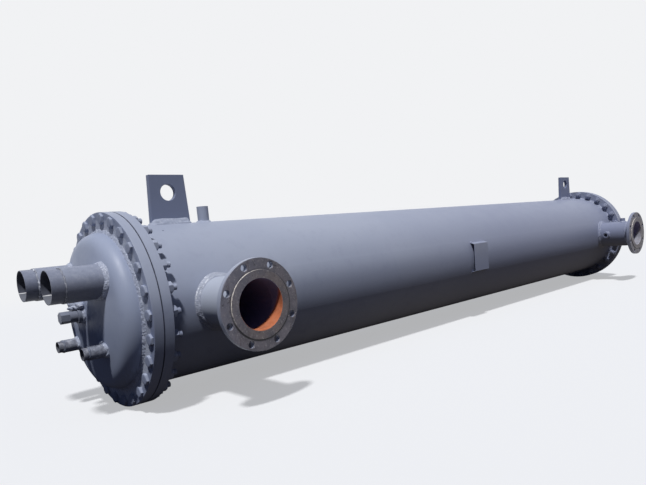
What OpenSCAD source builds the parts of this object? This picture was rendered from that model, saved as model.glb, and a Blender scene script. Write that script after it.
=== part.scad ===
// Shell and tube heat exchanger, horizontal, with fixed tubesheets and bolted dished heads.
// Millimetres. The origin is the centre of the near nozzle's raised face, which looks along -Y.
// X runs along the shell from the near head to the far head, and Z is up.

/* [Shell] */
// Outside diameter of the shell
shell_od = 550; // [450:1:700]
// Wall of the shell
shell_wall = 8; // [5:0.5:14]
// Length of the shell between the two tubesheets
shell_length = 3555; // [2600:5:5000]

/* [Body flanges] */
// The tubesheets and the head flanges stand out this far beyond the shell
body_flange_out = 52.5; // [45:0.5:90]
// Thickness of a tubesheet
tubesheet_thick = 32; // [22:1:50]
// Thickness of a head flange
head_flange_thick = 32; // [22:1:50]
// Thickness of the gasket between them
gasket_thick = 2; // [1:0.5:4]
// The gasket's rim lies this far inside the flanges' rim
gasket_inset = 6; // [1:0.5:9]
// Bolts round each body flange
body_bolts = 26; // [20:2:32]
// Edge distance from the bolt circle to the flange's rim
body_bolt_edge = 21.5; // [18:0.5:30]
// Bolt hole in the body flanges
body_bolt_hole = 22; // [16:1:26]

/* [Heads] */
// A dished head's outside lies this far inside the shell's outside, all round
head_inset = 15; // [8:0.5:30]
// Wall of a head
head_wall = 8; // [5:0.5:12]
// Straight rim of a head, standing on its flange
head_rim = 10; // [6:1:30]
// Knuckle radius of a head, outside
head_knuckle = 50; // [30:1:70]
// Crown radius of a head, outside
head_crown = 900; // [700:10:1400]

/* [Nozzles] */
// Height of a nozzle's raised face over the shell's axis
nozzle_reach = 500; // [450:1:700]
// Nozzle pipe outside diameter
nozzle_pipe_od = 168.3; // [114.3:0.1:219.1]
// Nozzle pipe wall
nozzle_pipe_wall = 4.5; // [3:0.1:8]
// Near nozzle's axis from the near tubesheet
near_nozzle_setback = 200; // [180:1:400]
// Far nozzle's axis from the far tubesheet
far_nozzle_setback = 171; // [160:1:400]
// Nozzle flange outside diameter
nozzle_flange_od = 285; // [280:1:340]
// Nozzle flange thickness with its raised face
nozzle_flange_thick = 22; // [18:1:30]
// Raised face diameter
raised_face_od = 212; // [190:1:216]
// Raised face height
raised_face_high = 3; // [1:0.5:4]
// Bolt circle of a nozzle flange
nozzle_bolt_circle = 250; // [240:1:256]
// Bolt hole in a nozzle flange
nozzle_bolt_hole = 22; // [18:1:24]
// Bolts of a nozzle flange
nozzle_bolts = 8; // [8:4:12]
// Neck diameter at the back of a nozzle flange
neck_od = 184; // [176:1:200]
// Height of a nozzle flange with its neck
neck_high = 55; // [45:1:70]

/* [Lifting lugs] */
// Thickness of a lug
lug_thick = 20; // [12:1:30]
// Width of a lug at the shell
lug_base = 150; // [138:1:220]
// Width of a lug at its top
lug_top = 134; // [110:1:160]
// Height of the near lug over the shell
near_lug_high = 175; // [150:1:240]
// Height of the far lug over the shell
far_lug_high = 165; // [150:1:240]
// The near lug stands this far from the nozzle's axis, towards the near head
near_lug_shift = 10; // [-20:1:20]
// Shackle hole
lug_hole = 58; // [30:1:70]
// Shackle hole's centre over the shell
lug_hole_high = 112; // [80:1:118]

/* [Vent on the shell] */
// Vent pipe outside diameter
vent_od = 42.4; // [33.7:0.1:60.3]
// Vent pipe wall
vent_wall = 3.6; // [2.5:0.1:5]
// Vent pipe height over the shell
vent_high = 58; // [40:1:90]
// Vent pipe from the near nozzle's axis
vent_offset = 126; // [110:1:200]

/* [Name plate bracket] */
// Length of the bracket's bare face along the shell
bracket_long = 125; // [80:1:180]
// Height of the bracket's bare face
bracket_high = 140; // [100:1:180]
// Distance of the bare face from the shell
bracket_stand_off = 15; // [8:1:30]
// Spread of each leg from the face's edge down to the shell
bracket_flare = 9; // [0:1:20]
// Sheet thickness
bracket_sheet = 3; // [2:0.5:5]
// Middle of the bracket from the near tubesheet
bracket_from_tubesheet = 1755; // [800:5:2400]

/* [Gas pipes on the near head] */
// Gas pipe outside diameter
gas_pipe_od = 108; // [88.9:0.1:114.3]
// Gas pipe wall
gas_pipe_wall = 4.5; // [3:0.1:6]
// Outside diameter of the brazing tip
gas_tip_od = 103; // [80:0.1:108]
// Wall of the brazing tip
gas_tip_wall = 3; // [2:0.1:4]
// Length of the brazing tip
gas_tip_long = 40; // [25:1:60]
// Each gas pipe's axis from the head's upright middle plane
gas_side = 130; // [110:1:150]
// Gas pipes' axis above the shell's axis
gas_up = 109; // [90:1:130]
// Gas pipes' ends from the head flange's outer face
gas_reach = 220; // [180:1:300]
// How far a pipe shows inside the head, at the head's lowest side round it
pipe_inside = 4; // [1:1:12]

/* [Liquid stubs on the near head] */
// Liquid stub outside diameter
liquid_pipe_od = 42.4; // [33.7:0.1:48.3]
// Liquid stub wall
liquid_pipe_wall = 3.6; // [2.5:0.1:4.5]
// Outside diameter of its tip
liquid_tip_od = 38; // [28:0.1:42]
// Wall of its tip
liquid_tip_wall = 2.5; // [1.5:0.1:3]
// Length of its tip
liquid_tip_long = 18; // [12:1:30]
// Each liquid stub's axis from the head's upright middle plane
liquid_side = 116; // [90:1:140]
// Liquid stubs' axis below the shell's axis
liquid_down = 108; // [90:1:130]
// Liquid stubs' ends from the head flange's outer face
liquid_reach = 142; // [120:1:200]

/* [Plugged boss on the near head] */
// Boss outside diameter
boss_od = 50; // [40:1:60]
// Boss end from the head flange's outer face
boss_reach = 106; // [98:1:130]
// Round collar of the plug
plug_collar_od = 38; // [30:1:46]
// Length of the collar
plug_collar_long = 24; // [12:1:36]
// Hexagon across its flats
plug_hex = 34; // [24:1:42]
// Length of the hexagon
plug_hex_long = 27; // [14:1:36]

/* [Small couplings on the far nozzle] */
// Side coupling outside diameter
side_coupling_od = 38; // [30:1:44]
// Side coupling bore
side_coupling_bore = 24; // [14:1:27]
// Hole drilled in the nozzle pipe under the side coupling
side_coupling_drill = 18; // [8:1:22]
// Side coupling end over the nozzle pipe
side_coupling_high = 21; // [14:1:40]
// Side coupling's rim from the shell
side_coupling_off_shell = 34; // [20:1:90]
// Top coupling outside diameter
top_coupling_od = 32; // [24:1:40]
// Top coupling bore
top_coupling_bore = 19; // [10:1:22]
// Hole drilled in the nozzle pipe under the top coupling
top_coupling_drill = 20; // [14:1:24]
// Top coupling end over the nozzle pipe
top_coupling_high = 24; // [14:1:40]
// Top coupling's rim from the neck of the flange
top_coupling_off_neck = 22; // [10:1:60]

/* [Tube bundle] */
// Tube outside diameter
tube_od = 25; // [16:0.5:32]
// Tube wall
tube_wall = 2; // [1:0.1:3]
// Distance between tube centres
tube_pitch = 50; // [36:1:70]
// Tubes stand this far inside the shell's bore
bundle_margin = 12; // [6:1:40]
// Number of baffles
baffles = 6; // [2:1:10]
// Baffle thickness
baffle_thick = 6; // [4:1:10]
// Baffle cut, from the shell's axis to its straight edge
baffle_cut = 110; // [40:1:160]

/* [Fits] */
// Gap round a pipe where it passes through a plate
pass_gap = 0.3; // [0.1:0.05:1]
// Gap between a piece and the round surface that it is welded on
seat_gap = 0.3; // [0.1:0.05:1]
// Gap round a tube in its hole
tube_gap = 0.2; // [0.1:0.05:0.5]

/* [Hidden] */
$fn = 96;

paint = [0.43, 0.46, 0.56];
bare_steel = [0.36, 0.34, 0.33];
gasket_black = [0.08, 0.08, 0.09];
tube_metal = [0.62, 0.42, 0.28];
past = 1;

shell_r = shell_od / 2;
shell_bore_r = shell_r - shell_wall;
body_flange_od = shell_od + 2 * body_flange_out;
head_od = shell_od - 2 * head_inset;
near_end = -near_nozzle_setback;
far_end = near_end + shell_length;
far_nozzle_x = far_end - far_nozzle_setback;
flange_stack = tubesheet_thick + gasket_thick + head_flange_thick;
near_face = near_end - flange_stack;
far_face = far_end + flange_stack;
body_bolt_r = body_flange_od / 2 - body_bolt_edge;
nozzle_pipe_r = nozzle_pipe_od / 2;
nozzle_bore_r = nozzle_pipe_r - nozzle_pipe_wall;
bundle_r = shell_bore_r - bundle_margin - tube_od / 2;
head_hole_r = head_od / 2 - head_wall;
side_coupling_out = shell_r + side_coupling_off_shell + side_coupling_od / 2;
top_coupling_out = nozzle_reach - neck_high - top_coupling_off_neck - top_coupling_od / 2;

// Puts what is drawn along +Z on the shell's axis, looking along +X from the given place
module on_axis(x) {
  translate([x, nozzle_reach, 0]) rotate([0, 90, 0]) children();
}

// The same, looking along -X: for the pieces that stand on the near head
module on_near_head(side, up) {
  translate([near_face, nozzle_reach + side, up]) rotate([0, -90, 0]) children();
}

// Puts what is drawn along +Z on a nozzle's axis, with zero at the raised face and +Z into the shell
module on_nozzle(x) {
  translate([x, 0, 0]) rotate([-90, 0, 0]) children();
}

module ring(outer_r, inner_r, high) {
  difference() {
    cylinder(r = outer_r, h = high);
    translate([0, 0, -past]) cylinder(r = inner_r, h = high + 2 * past);
  }
}

module bolt_circle(circle_r, hole_d, count, first, deep) {
  for (i = [0:count - 1])
    rotate(first + i * 360 / count)
      translate([circle_r, 0, -past]) cylinder(d = hole_d, h = deep + 2 * past);
}

// The shell's outer surface with a little room, to shape what is welded on it
module shell_seat() {
  on_axis(near_end) cylinder(r = shell_r + seat_gap, h = shell_length);
}

// Tube centres: a triangular field inside the bundle's circle
tube_rows = floor(bundle_r / (tube_pitch * sin(60)));
tube_places = [
  for (row = [-tube_rows:tube_rows])
    let (y = row * tube_pitch * sin(60), shift = (row % 2 == 0 ? 0 : tube_pitch / 2))
      for (i = [-tube_rows - 1:tube_rows + 1])
        let (x = i * tube_pitch + shift)
          if (norm([x, y]) <= bundle_r) [x, y]
];

module at_tubes() {
  for (p = tube_places) translate(p) children();
}

module shell() {
  color(paint) difference() {
    on_axis(near_end) ring(shell_r, shell_bore_r, shell_length);
    for (x = [0, far_nozzle_x])
      on_nozzle(x) cylinder(r = nozzle_pipe_r + pass_gap, h = nozzle_reach);
    translate([vent_offset, nozzle_reach, 0]) cylinder(d = vent_od + 2 * pass_gap, h = shell_od);
  }
}

module tubesheet() {
  difference() {
    linear_extrude(tubesheet_thick) difference() {
      circle(d = body_flange_od);
      at_tubes() circle(r = tube_od / 2 + tube_gap);
    }
    bolt_circle(body_bolt_r, body_bolt_hole, body_bolts, 90, tubesheet_thick);
  }
}

module near_tubesheet() {
  color(paint) on_axis(near_end - tubesheet_thick) tubesheet();
}

module far_tubesheet() {
  color(paint) on_axis(far_end) tubesheet();
}

module gasket() {
  difference() {
    ring(body_flange_od / 2 - gasket_inset, head_hole_r, gasket_thick);
    bolt_circle(body_bolt_r, body_bolt_hole, body_bolts, 90, gasket_thick);
  }
}

module near_gasket() {
  color(gasket_black) on_axis(near_end - tubesheet_thick - gasket_thick) gasket();
}

module far_gasket() {
  color(gasket_black) on_axis(far_end + tubesheet_thick) gasket();
}

module head_flange() {
  difference() {
    ring(body_flange_od / 2, head_hole_r, head_flange_thick);
    bolt_circle(body_bolt_r, body_bolt_hole, body_bolts, 90, head_flange_thick);
  }
}

module near_head_flange() {
  color(paint) on_axis(near_face) head_flange();
}

module far_head_flange() {
  color(paint) on_axis(far_face - head_flange_thick) head_flange();
}

// Where the crown of a dished head meets its knuckle, as an angle from the head's axis
head_blend = asin((head_od / 2 - head_knuckle) / (head_crown - head_knuckle));
head_crown_drop = (head_crown - head_knuckle) * cos(head_blend);

// Half outline of a torispherical head, moved inwards by inset: radius across, height up
function dish_outline(inset) = [
  [0, 0],
  [head_od / 2 - inset, 0],
  for (i = [0:8]) let (a = i * (90 - head_blend) / 8)
    [head_od / 2 - head_knuckle + (head_knuckle - inset) * cos(a), head_rim + (head_knuckle - inset) * sin(a)],
  for (i = [1:8]) let (a = head_blend * (1 - i / 8))
    [(head_crown - inset) * sin(a), head_rim - head_crown_drop + (head_crown - inset) * cos(a)]
];

module dish() {
  difference() {
    rotate_extrude() polygon(dish_outline(0));
    translate([0, 0, -0.001]) rotate_extrude() polygon(dish_outline(head_wall));
  }
}

module near_head_dish() {
  color(paint) difference() {
    on_near_head(0, 0) dish();
    for (side = [-gas_side, gas_side])
      on_near_head(side, gas_up) cylinder(d = gas_pipe_od + 2 * pass_gap, h = gas_reach);
    for (side = [-liquid_side, liquid_side])
      on_near_head(side, -liquid_down) cylinder(d = liquid_pipe_od + 2 * pass_gap, h = liquid_reach);
    on_near_head(0, 0) cylinder(d = boss_od + 2 * pass_gap, h = boss_reach);
  }
}

module far_head_dish() {
  color(paint) on_axis(far_face) dish();
}

module tubes() {
  color(tube_metal) on_axis(near_end - tubesheet_thick)
    at_tubes() ring(tube_od / 2, tube_od / 2 - tube_wall, shell_length + 2 * tubesheet_thick);
}

module baffle_plates() {
  color(bare_steel) for (i = [1:baffles])
    on_axis(near_end + i * shell_length / (baffles + 1))
      linear_extrude(baffle_thick) difference() {
        circle(r = shell_bore_r - seat_gap);
        at_tubes() circle(r = tube_od / 2 + tube_gap);
        translate([i % 2 == 0 ? baffle_cut : -baffle_cut - shell_od, -shell_od / 2]) square(shell_od);
      }
}

module nozzle_pipe() {
  translate([0, 0, neck_high])
    ring(nozzle_pipe_r, nozzle_bore_r, nozzle_reach - shell_bore_r - neck_high);
}

// Weld neck flange: raised face, plate and tapered neck in one turned profile
module nozzle_flange() {
  difference() {
    rotate_extrude() polygon([
      [nozzle_bore_r, 0],
      [raised_face_od / 2, 0],
      [raised_face_od / 2, raised_face_high],
      [nozzle_flange_od / 2, raised_face_high],
      [nozzle_flange_od / 2, nozzle_flange_thick],
      [neck_od / 2, nozzle_flange_thick],
      [nozzle_pipe_r, neck_high],
      [nozzle_bore_r, neck_high]
    ]);
    bolt_circle(nozzle_bolt_circle / 2, nozzle_bolt_hole, nozzle_bolts, 180 / nozzle_bolts, nozzle_flange_thick);
  }
}

module near_nozzle_pipe() {
  color(paint) on_nozzle(0) nozzle_pipe();
}

module near_nozzle_flange() {
  color(bare_steel) on_nozzle(0) nozzle_flange();
}

// Places a small coupling on the far nozzle's pipe, square to it and its given distance out
module on_far_pipe(out, turn) {
  translate([far_nozzle_x, nozzle_reach - out, 0]) rotate([0, turn, 0]) children();
}

module far_nozzle_pipe() {
  color(paint) difference() {
    on_nozzle(far_nozzle_x) nozzle_pipe();
    on_far_pipe(side_coupling_out, -90) cylinder(d = side_coupling_drill, h = nozzle_pipe_od);
    on_far_pipe(top_coupling_out, 0) cylinder(d = top_coupling_drill, h = nozzle_pipe_od);
  }
}

module far_nozzle_flange() {
  color(bare_steel) on_nozzle(far_nozzle_x) nozzle_flange();
}

// A half coupling, its foot cut to the nozzle pipe
module coupling(out, turn, outer_d, bore_d, high) {
  difference() {
    on_far_pipe(out, turn) cylinder(d = outer_d, h = nozzle_pipe_r + high);
    on_far_pipe(out, turn) cylinder(d = bore_d, h = nozzle_pipe_r + high + past);
    on_nozzle(far_nozzle_x) cylinder(r = nozzle_pipe_r + seat_gap, h = nozzle_reach);
  }
}

module far_nozzle_side_coupling() {
  color(paint) coupling(side_coupling_out, -90, side_coupling_od, side_coupling_bore, side_coupling_high);
}

module far_nozzle_top_coupling() {
  color(paint) coupling(top_coupling_out, 0, top_coupling_od, top_coupling_bore, top_coupling_high);
}

// Lug plate: tapered, with its shackle hole near the top and its foot cut to the shell
module lug(x, high) {
  difference() {
    translate([x, nozzle_reach + lug_thick / 2, 0]) rotate([90, 0, 0])
      linear_extrude(lug_thick) difference() {
        polygon([
          [-lug_base / 2, shell_r - past],
          [lug_base / 2, shell_r - past],
          [lug_top / 2, shell_r + high],
          [-lug_top / 2, shell_r + high]
        ]);
        translate([0, shell_r + lug_hole_high]) circle(d = lug_hole);
      }
    shell_seat();
  }
}

module near_lug() {
  color(paint) lug(-near_lug_shift, near_lug_high);
}

module far_lug() {
  color(paint) lug(far_nozzle_x, far_lug_high);
}

module vent_stub() {
  color(paint) translate([vent_offset, nozzle_reach, shell_bore_r])
    ring(vent_od / 2, vent_od / 2 - vent_wall, shell_wall + vent_high);
}

// Bent sheet: a bare face with two flared legs down to the shell
module plate_bracket() {
  face_y = -shell_r - bracket_stand_off;
  half = bracket_high / 2;
  foot = half + bracket_flare;
  foot_y = -sqrt(shell_r * shell_r - foot * foot) + bracket_sheet;
  color(paint) difference() {
    translate([near_end + bracket_from_tubesheet - bracket_long / 2, nozzle_reach, 0])
      rotate([90, 0, 90]) linear_extrude(bracket_long) polygon([
        [face_y, -half],
        [face_y, half],
        [foot_y, foot],
        [foot_y, foot - bracket_sheet],
        [face_y + bracket_sheet, half - bracket_sheet],
        [face_y + bracket_sheet, -half + bracket_sheet],
        [foot_y, -foot + bracket_sheet],
        [foot_y, -foot]
      ]);
    shell_seat();
  }
}

// Height over the flange where a pipe of radius pipe_r starts, just inside the head's wall
function pipe_root(side, up, pipe_r) =
  head_rim - head_crown_drop - pipe_inside
  + sqrt(pow(head_crown - head_wall, 2) - pow(norm([side, up]) + pipe_r, 2));

// A pipe through the near head, from just inside the wall to its tip
module head_pipe(side, up, outer_d, wall, reach) {
  root = pipe_root(side, up, outer_d / 2);
  on_near_head(side, up) translate([0, 0, root]) ring(outer_d / 2, outer_d / 2 - wall, reach - root);
}

module gas_pipe(side) {
  head_pipe(side, gas_up, gas_pipe_od, gas_pipe_wall, gas_reach - gas_tip_long);
}

module gas_tip(side) {
  on_near_head(side, gas_up) translate([0, 0, gas_reach - gas_tip_long])
    ring(gas_tip_od / 2, gas_tip_od / 2 - gas_tip_wall, gas_tip_long);
}

module liquid_stub(side) {
  head_pipe(side, -liquid_down, liquid_pipe_od, liquid_pipe_wall, liquid_reach - liquid_tip_long);
}

module liquid_tip(side) {
  on_near_head(side, -liquid_down) translate([0, 0, liquid_reach - liquid_tip_long])
    ring(liquid_tip_od / 2, liquid_tip_od / 2 - liquid_tip_wall, liquid_tip_long);
}

module front_gas_pipe() { color(paint) gas_pipe(-gas_side); }
module back_gas_pipe() { color(paint) gas_pipe(gas_side); }
module front_gas_tip() { color(paint) gas_tip(-gas_side); }
module back_gas_tip() { color(paint) gas_tip(gas_side); }
module front_liquid_stub() { color(paint) liquid_stub(-liquid_side); }
module back_liquid_stub() { color(paint) liquid_stub(liquid_side); }
module front_liquid_tip() { color(paint) liquid_tip(-liquid_side); }
module back_liquid_tip() { color(paint) liquid_tip(liquid_side); }

module head_boss() {
  root = pipe_root(0, 0, boss_od / 2);
  color(paint) on_near_head(0, 0) translate([0, 0, root]) cylinder(d = boss_od, h = boss_reach - root);
}

module boss_plug() {
  color(paint) on_near_head(0, 0) translate([0, 0, boss_reach]) {
    cylinder(d = plug_collar_od, h = plug_collar_long);
    translate([0, 0, plug_collar_long]) cylinder(d = plug_hex / cos(30), h = plug_hex_long, $fn = 6);
  }
}

shell();
near_tubesheet();
far_tubesheet();
near_gasket();
far_gasket();
near_head_flange();
far_head_flange();
near_head_dish();
far_head_dish();
tubes();
baffle_plates();
near_nozzle_pipe();
near_nozzle_flange();
far_nozzle_pipe();
far_nozzle_flange();
far_nozzle_side_coupling();
far_nozzle_top_coupling();
near_lug();
far_lug();
vent_stub();
plate_bracket();
front_gas_pipe();
front_gas_tip();
back_gas_pipe();
back_gas_tip();
front_liquid_stub();
front_liquid_tip();
back_liquid_stub();
back_liquid_tip();
head_boss();
boss_plug();
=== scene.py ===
"""The finished look of a shell and tube heat exchanger: paint, bare steel, welds, bolts and rounded edges.

Everything is in metres, in the part's own frame: the near nozzle's raised face is centred on the origin and
looks along -Y, the shell runs along +X and Z is up.
"""
import math

import bmesh
import bpy
import numpy as np
from bpy.props import FloatProperty, FloatVectorProperty, IntProperty, PointerProperty
from mathutils import Matrix, Vector
from mathutils.geometry import delaunay_2d_cdt


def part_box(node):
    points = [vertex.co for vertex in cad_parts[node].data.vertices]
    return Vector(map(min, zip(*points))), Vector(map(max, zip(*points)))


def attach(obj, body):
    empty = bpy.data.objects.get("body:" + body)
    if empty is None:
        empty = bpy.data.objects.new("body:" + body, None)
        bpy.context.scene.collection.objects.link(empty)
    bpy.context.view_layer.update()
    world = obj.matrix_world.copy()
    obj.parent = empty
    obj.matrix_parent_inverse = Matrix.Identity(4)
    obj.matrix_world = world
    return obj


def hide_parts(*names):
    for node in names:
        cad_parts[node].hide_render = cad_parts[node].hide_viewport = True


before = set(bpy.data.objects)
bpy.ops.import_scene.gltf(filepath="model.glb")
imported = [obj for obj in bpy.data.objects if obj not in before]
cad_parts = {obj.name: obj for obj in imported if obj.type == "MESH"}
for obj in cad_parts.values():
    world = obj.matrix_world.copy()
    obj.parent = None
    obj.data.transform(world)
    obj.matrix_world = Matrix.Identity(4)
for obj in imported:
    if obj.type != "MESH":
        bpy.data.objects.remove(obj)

bl_info = {
    "name": "Shell and tube heat exchanger",
    "version": (1, 0, 0),
    "blender": (4, 5, 0),
    "location": "3D View > Sidebar > Exchanger",
    "description": "Paints and finishes a shell and tube heat exchanger and sets it on a pale stage",
    "category": "Object",
}

MM = 0.001


def corners(node):
    """Lowest and highest corner of a CAD node, as arrays."""
    low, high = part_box(node)
    return np.array(low), np.array(high)


def middle(node):
    low, high = corners(node)
    return (low + high) / 2


def half(node, axis=2):
    """Half of a CAD node's size along one of the frame's axes, Z unless another is asked for."""
    low, high = corners(node)
    return (high[axis] - low[axis]) / 2


# Places taken from the frame
SHELL_R = half("shell")
AXIS_Y = corners("shell")[0][1] + SHELL_R
NEAR_END, FAR_END = (corner[0] for corner in corners("shell"))
NEAR_FACE = corners("near_head_flange")[0][0]
FAR_FACE = corners("far_head_flange")[1][0]
FLANGE_R = corners("near_head_flange")[1][2]
HEAD_R = corners("near_head_dish")[1][2]
PIPE_R = corners("near_nozzle_pipe")[1][2]
FAR_NOZZLE_X = middle("far_nozzle_pipe")[0]
NECK_END = corners("near_nozzle_flange")[1][1]
NOZZLE_FLANGE_R = corners("near_nozzle_flange")[1][2]
SIDES = (("near", NEAR_FACE, NEAR_END, -1.0), ("far", FAR_FACE, FAR_END, 1.0))
NOZZLES = (("near", 0.0), ("far", FAR_NOZZLE_X))
GAS_PIPES = ("front_gas_pipe", "back_gas_pipe")
LIQUID_STUBS = ("front_liquid_stub", "back_liquid_stub")

# Sizes that the frame's boxes don't give, as in the part's source
NOZZLE_BOLTS = 8
NOZZLE_BOLT_R = 125 * MM
NOZZLE_BORE_R = 79.65 * MM
RAISED_FACE_R = 106 * MM
RAISED_FACE = 3 * MM
NOZZLE_FLANGE_BACK = 22 * MM
NECK_R = 92 * MM
BOLT_HOLE_R = 11 * MM
HEAD_WALL = 8 * MM
HEAD_RIM = 10 * MM
KNUCKLE = 50 * MM
CROWN = 900 * MM
PASS_GAP = 0.3 * MM


# Colours and settings


def linear(code):
    """A hex sRGB colour as linear red, green, blue and alpha."""
    parts = np.array([int(code[i:i + 2], 16) for i in (1, 3, 5)]) / 255
    parts = np.where(parts <= 0.04045, parts / 12.92, ((parts + 0.055) / 1.055) ** 2.4)
    return (*parts.tolist(), 1.0)


def colour(name, description, code):
    return FloatVectorProperty(
        name=name, description=description, subtype="COLOR", size=4, min=0, max=1, default=linear(code)
    )


def length(name, description, default):
    return FloatProperty(
        name=name, description=description, subtype="DISTANCE", unit="LENGTH", min=0, default=default
    )


def strength(name, description, default):
    return FloatProperty(name=name, description=description, min=0, default=default)


class ExchangerPaint(bpy.types.PropertyGroup):
    body: colour("Body paint", "Blue-grey machine enamel on every painted piece", "#9BA2B5")
    dusty: colour("Dusty paint", "The enamel where dust lies on it", "#ACB2C1")
    deep: colour("Deep paint", "The enamel in thin and damp patches", "#868CA3")
    flange: colour("Flange steel", "Bare turned steel of the nozzle flanges", "#66626A")
    primer: colour("Bore primer", "Orange primer inside the near nozzle", "#C3724C")
    far_coat: colour("Far bore coat", "Pale primer inside the far nozzle", "#9A9BA6")
    gasket: colour("Gasket", "Sheet gasket between the body flanges", "#2C2E3C")
    tube: colour("Tube", "Dull drawn tube of the bundle", "#8A6A50")


class ExchangerWelds(bpy.types.PropertyGroup):
    nozzle_leg: length("Nozzle weld leg", "Leg of the saddle welds at the nozzle pipes", 17 * MM)
    body_leg: length("Body weld leg", "Leg of the welds round the shell and the heads", 9 * MM)
    head_pipe_leg: length("Head pipe weld leg", "Leg of the heavy welds at the two gas pipes", 12 * MM)
    lug_leg: length("Lug weld leg", "Leg of the welds at the feet of the lifting lugs", 15 * MM)
    small_leg: length("Small weld leg", "Leg of the welds at stubs, vent and couplings", 9 * MM)
    ripple: length("Ripple pitch", "Distance between two ripples of a bead", 5.5 * MM)
    seed: IntProperty(name="Seed", description="Start of the random lumps", default=7, min=0)


class ExchangerBolts(bpy.types.PropertyGroup):
    count: IntProperty(name="Bolts", description="Bolts round each body flange", default=26, min=4)
    flats: length("Across flats", "Hexagon of the bolt heads and nuts", 33 * MM)
    shank: length("Thread", "Diameter of the thread", 20 * MM)
    head: length("Head height", "Height of a bolt head", 9 * MM)
    nut: length("Nut height", "Height of a nut", 18 * MM)
    tail: length("Tail", "Thread that shows past a nut", 16 * MM)
    edge: length("Edge distance", "From the bolt circle to the flange's rim", 21.5 * MM)
    ease: length("Eased edge", "Rounding of the plates' edges under the paint", 1.5 * MM)


class ExchangerStage(bpy.types.PropertyGroup):
    ground: colour("Ground", "Colour of the floor and of what lies behind", "#F1F2F4")
    air: colour("Air", "Colour of the even light that the sky throws on the object", "#AEC4FA")
    key: strength("Key", "Strength of the lamp high above the near head", 3.24)
    softness: FloatProperty(
        name="Softness", description="Angle that the key lamp fills", subtype="ANGLE", min=0,
        default=math.radians(5),
    )
    sky: strength("Sky", "Strength of the even light from the sky", 0.125)


# Material graphs


def put(tree, kind, inputs=(), out=0, **settings):
    """Adds one shader node and gives one of its outputs. The inputs are values, hex colours or other nodes'
    outputs, in order or by name or number."""
    made = tree.nodes.new("ShaderNode" + kind)
    for key, value in settings.items():
        setattr(made, key, value)
    for key, value in inputs.items() if isinstance(inputs, dict) else enumerate(inputs):
        if isinstance(value, bpy.types.NodeSocket):
            tree.links.new(value, made.inputs[key])
        else:
            made.inputs[key].default_value = linear(value) if isinstance(value, str) else value
    return made.outputs[out] if made.outputs else None


def new_material(name):
    material = bpy.data.materials.new(name)
    material.use_nodes = True
    material.node_tree.nodes.clear()
    return material, material.node_tree


def finish_material(tree, **sockets):
    """Ends a graph with a Principled shader. A socket's name is written with underscores for spaces."""
    inputs = {key.replace("_", " "): value for key, value in sockets.items()}
    put(tree, "OutputMaterial", {"Surface": put(tree, "BsdfPrincipled", inputs)})


def place_in(tree, axis=None):
    """A point's place in the piece's own coordinates, or only its X, Y or Z."""
    place = put(tree, "TexCoord", out="Object")
    return put(tree, "SeparateXYZ", (place,), axis) if axis else place


def noise(tree, size, detail=3.0, roughness=0.55, stretch=(1, 1, 1), offset=0.0):
    """Noise whose largest blots are about size across, in metres, drawn on the piece's own coordinates."""
    scaled = put(tree, "Mapping", {0: place_in(tree), "Location": (offset,) * 3, "Scale": stretch})
    sockets = {"Vector": scaled, "Scale": 1 / size, "Detail": detail, "Roughness": roughness}
    return put(tree, "TexNoise", sockets, "Fac")


def mask(tree, *steps):
    """The product of steps. A step is a number, a node's output, or a ramp with soft ends between two levels
    of a value, as (value, low, high), which goes from 0 to 1 unless its own two ends follow."""
    share = None
    for step in steps:
        if isinstance(step, tuple):
            ends = (0.0, 1.0)[len(step) - 3:]
            step = put(tree, "MapRange", step + ends, interpolation_type="SMOOTHSTEP")
        share = step if share is None else put(tree, "Math", (share, step), operation="MULTIPLY")
    return share


def coated(tree, tone, *coats):
    """A tone with coats laid over it in turn, each as its colour and the steps of its mask."""
    for tint, *steps in coats:
        tone = put(tree, "Mix", {0: mask(tree, *steps), 6: tone, 7: tint}, 2, data_type="RGBA")
    return tone


def bumps(tree, *layers):
    """Bump from several (height, depth in metres) layers, the first lowest."""
    lower = {}
    for height, depth in layers:
        normal = put(tree, "Bump", {"Height": height, "Distance": depth, "Strength": 1.0, **lower})
        lower = {"Normal": normal}
    return normal


def axis_distance(tree, centre, axis):
    """Distance of a point from a line through centre along one of the frame's axes."""
    flat = put(tree, "VectorMath", (place_in(tree), tuple(centre)), operation="SUBTRACT")
    keep = tuple(float(i != axis) for i in range(3))
    flat = put(tree, "VectorMath", (flat, keep), operation="MULTIPLY")
    return put(tree, "VectorMath", (flat,), "Value", operation="LENGTH")


def reach_along(tree, centre, way):
    """How far a point lies from centre along a direction."""
    across = put(tree, "VectorMath", (place_in(tree), tuple(centre)), operation="SUBTRACT")
    return put(tree, "VectorMath", (across, way), "Value", operation="DOT_PRODUCT")


def off_level(tree, value, level):
    """How far a value is from a level, either way."""
    return put(tree, "Math", (put(tree, "Math", (value, level), operation="SUBTRACT"),), operation="ABSOLUTE")


def darker(tone, share):
    return tuple(share * part for part in tone[:3]) + (1.0,)


# A small chip in the shell's paint behind the near tubesheet, as the photograph shows
SHELL_CHIP = (-0.097, AXIS_Y - 0.1126, 0.2509)
# Where the near flange's spattered band ends and its painted shade begins, about the bolt circle
SPATTER_AND_SHADE_EDGE = (298 * MM, 308 * MM)


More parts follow.
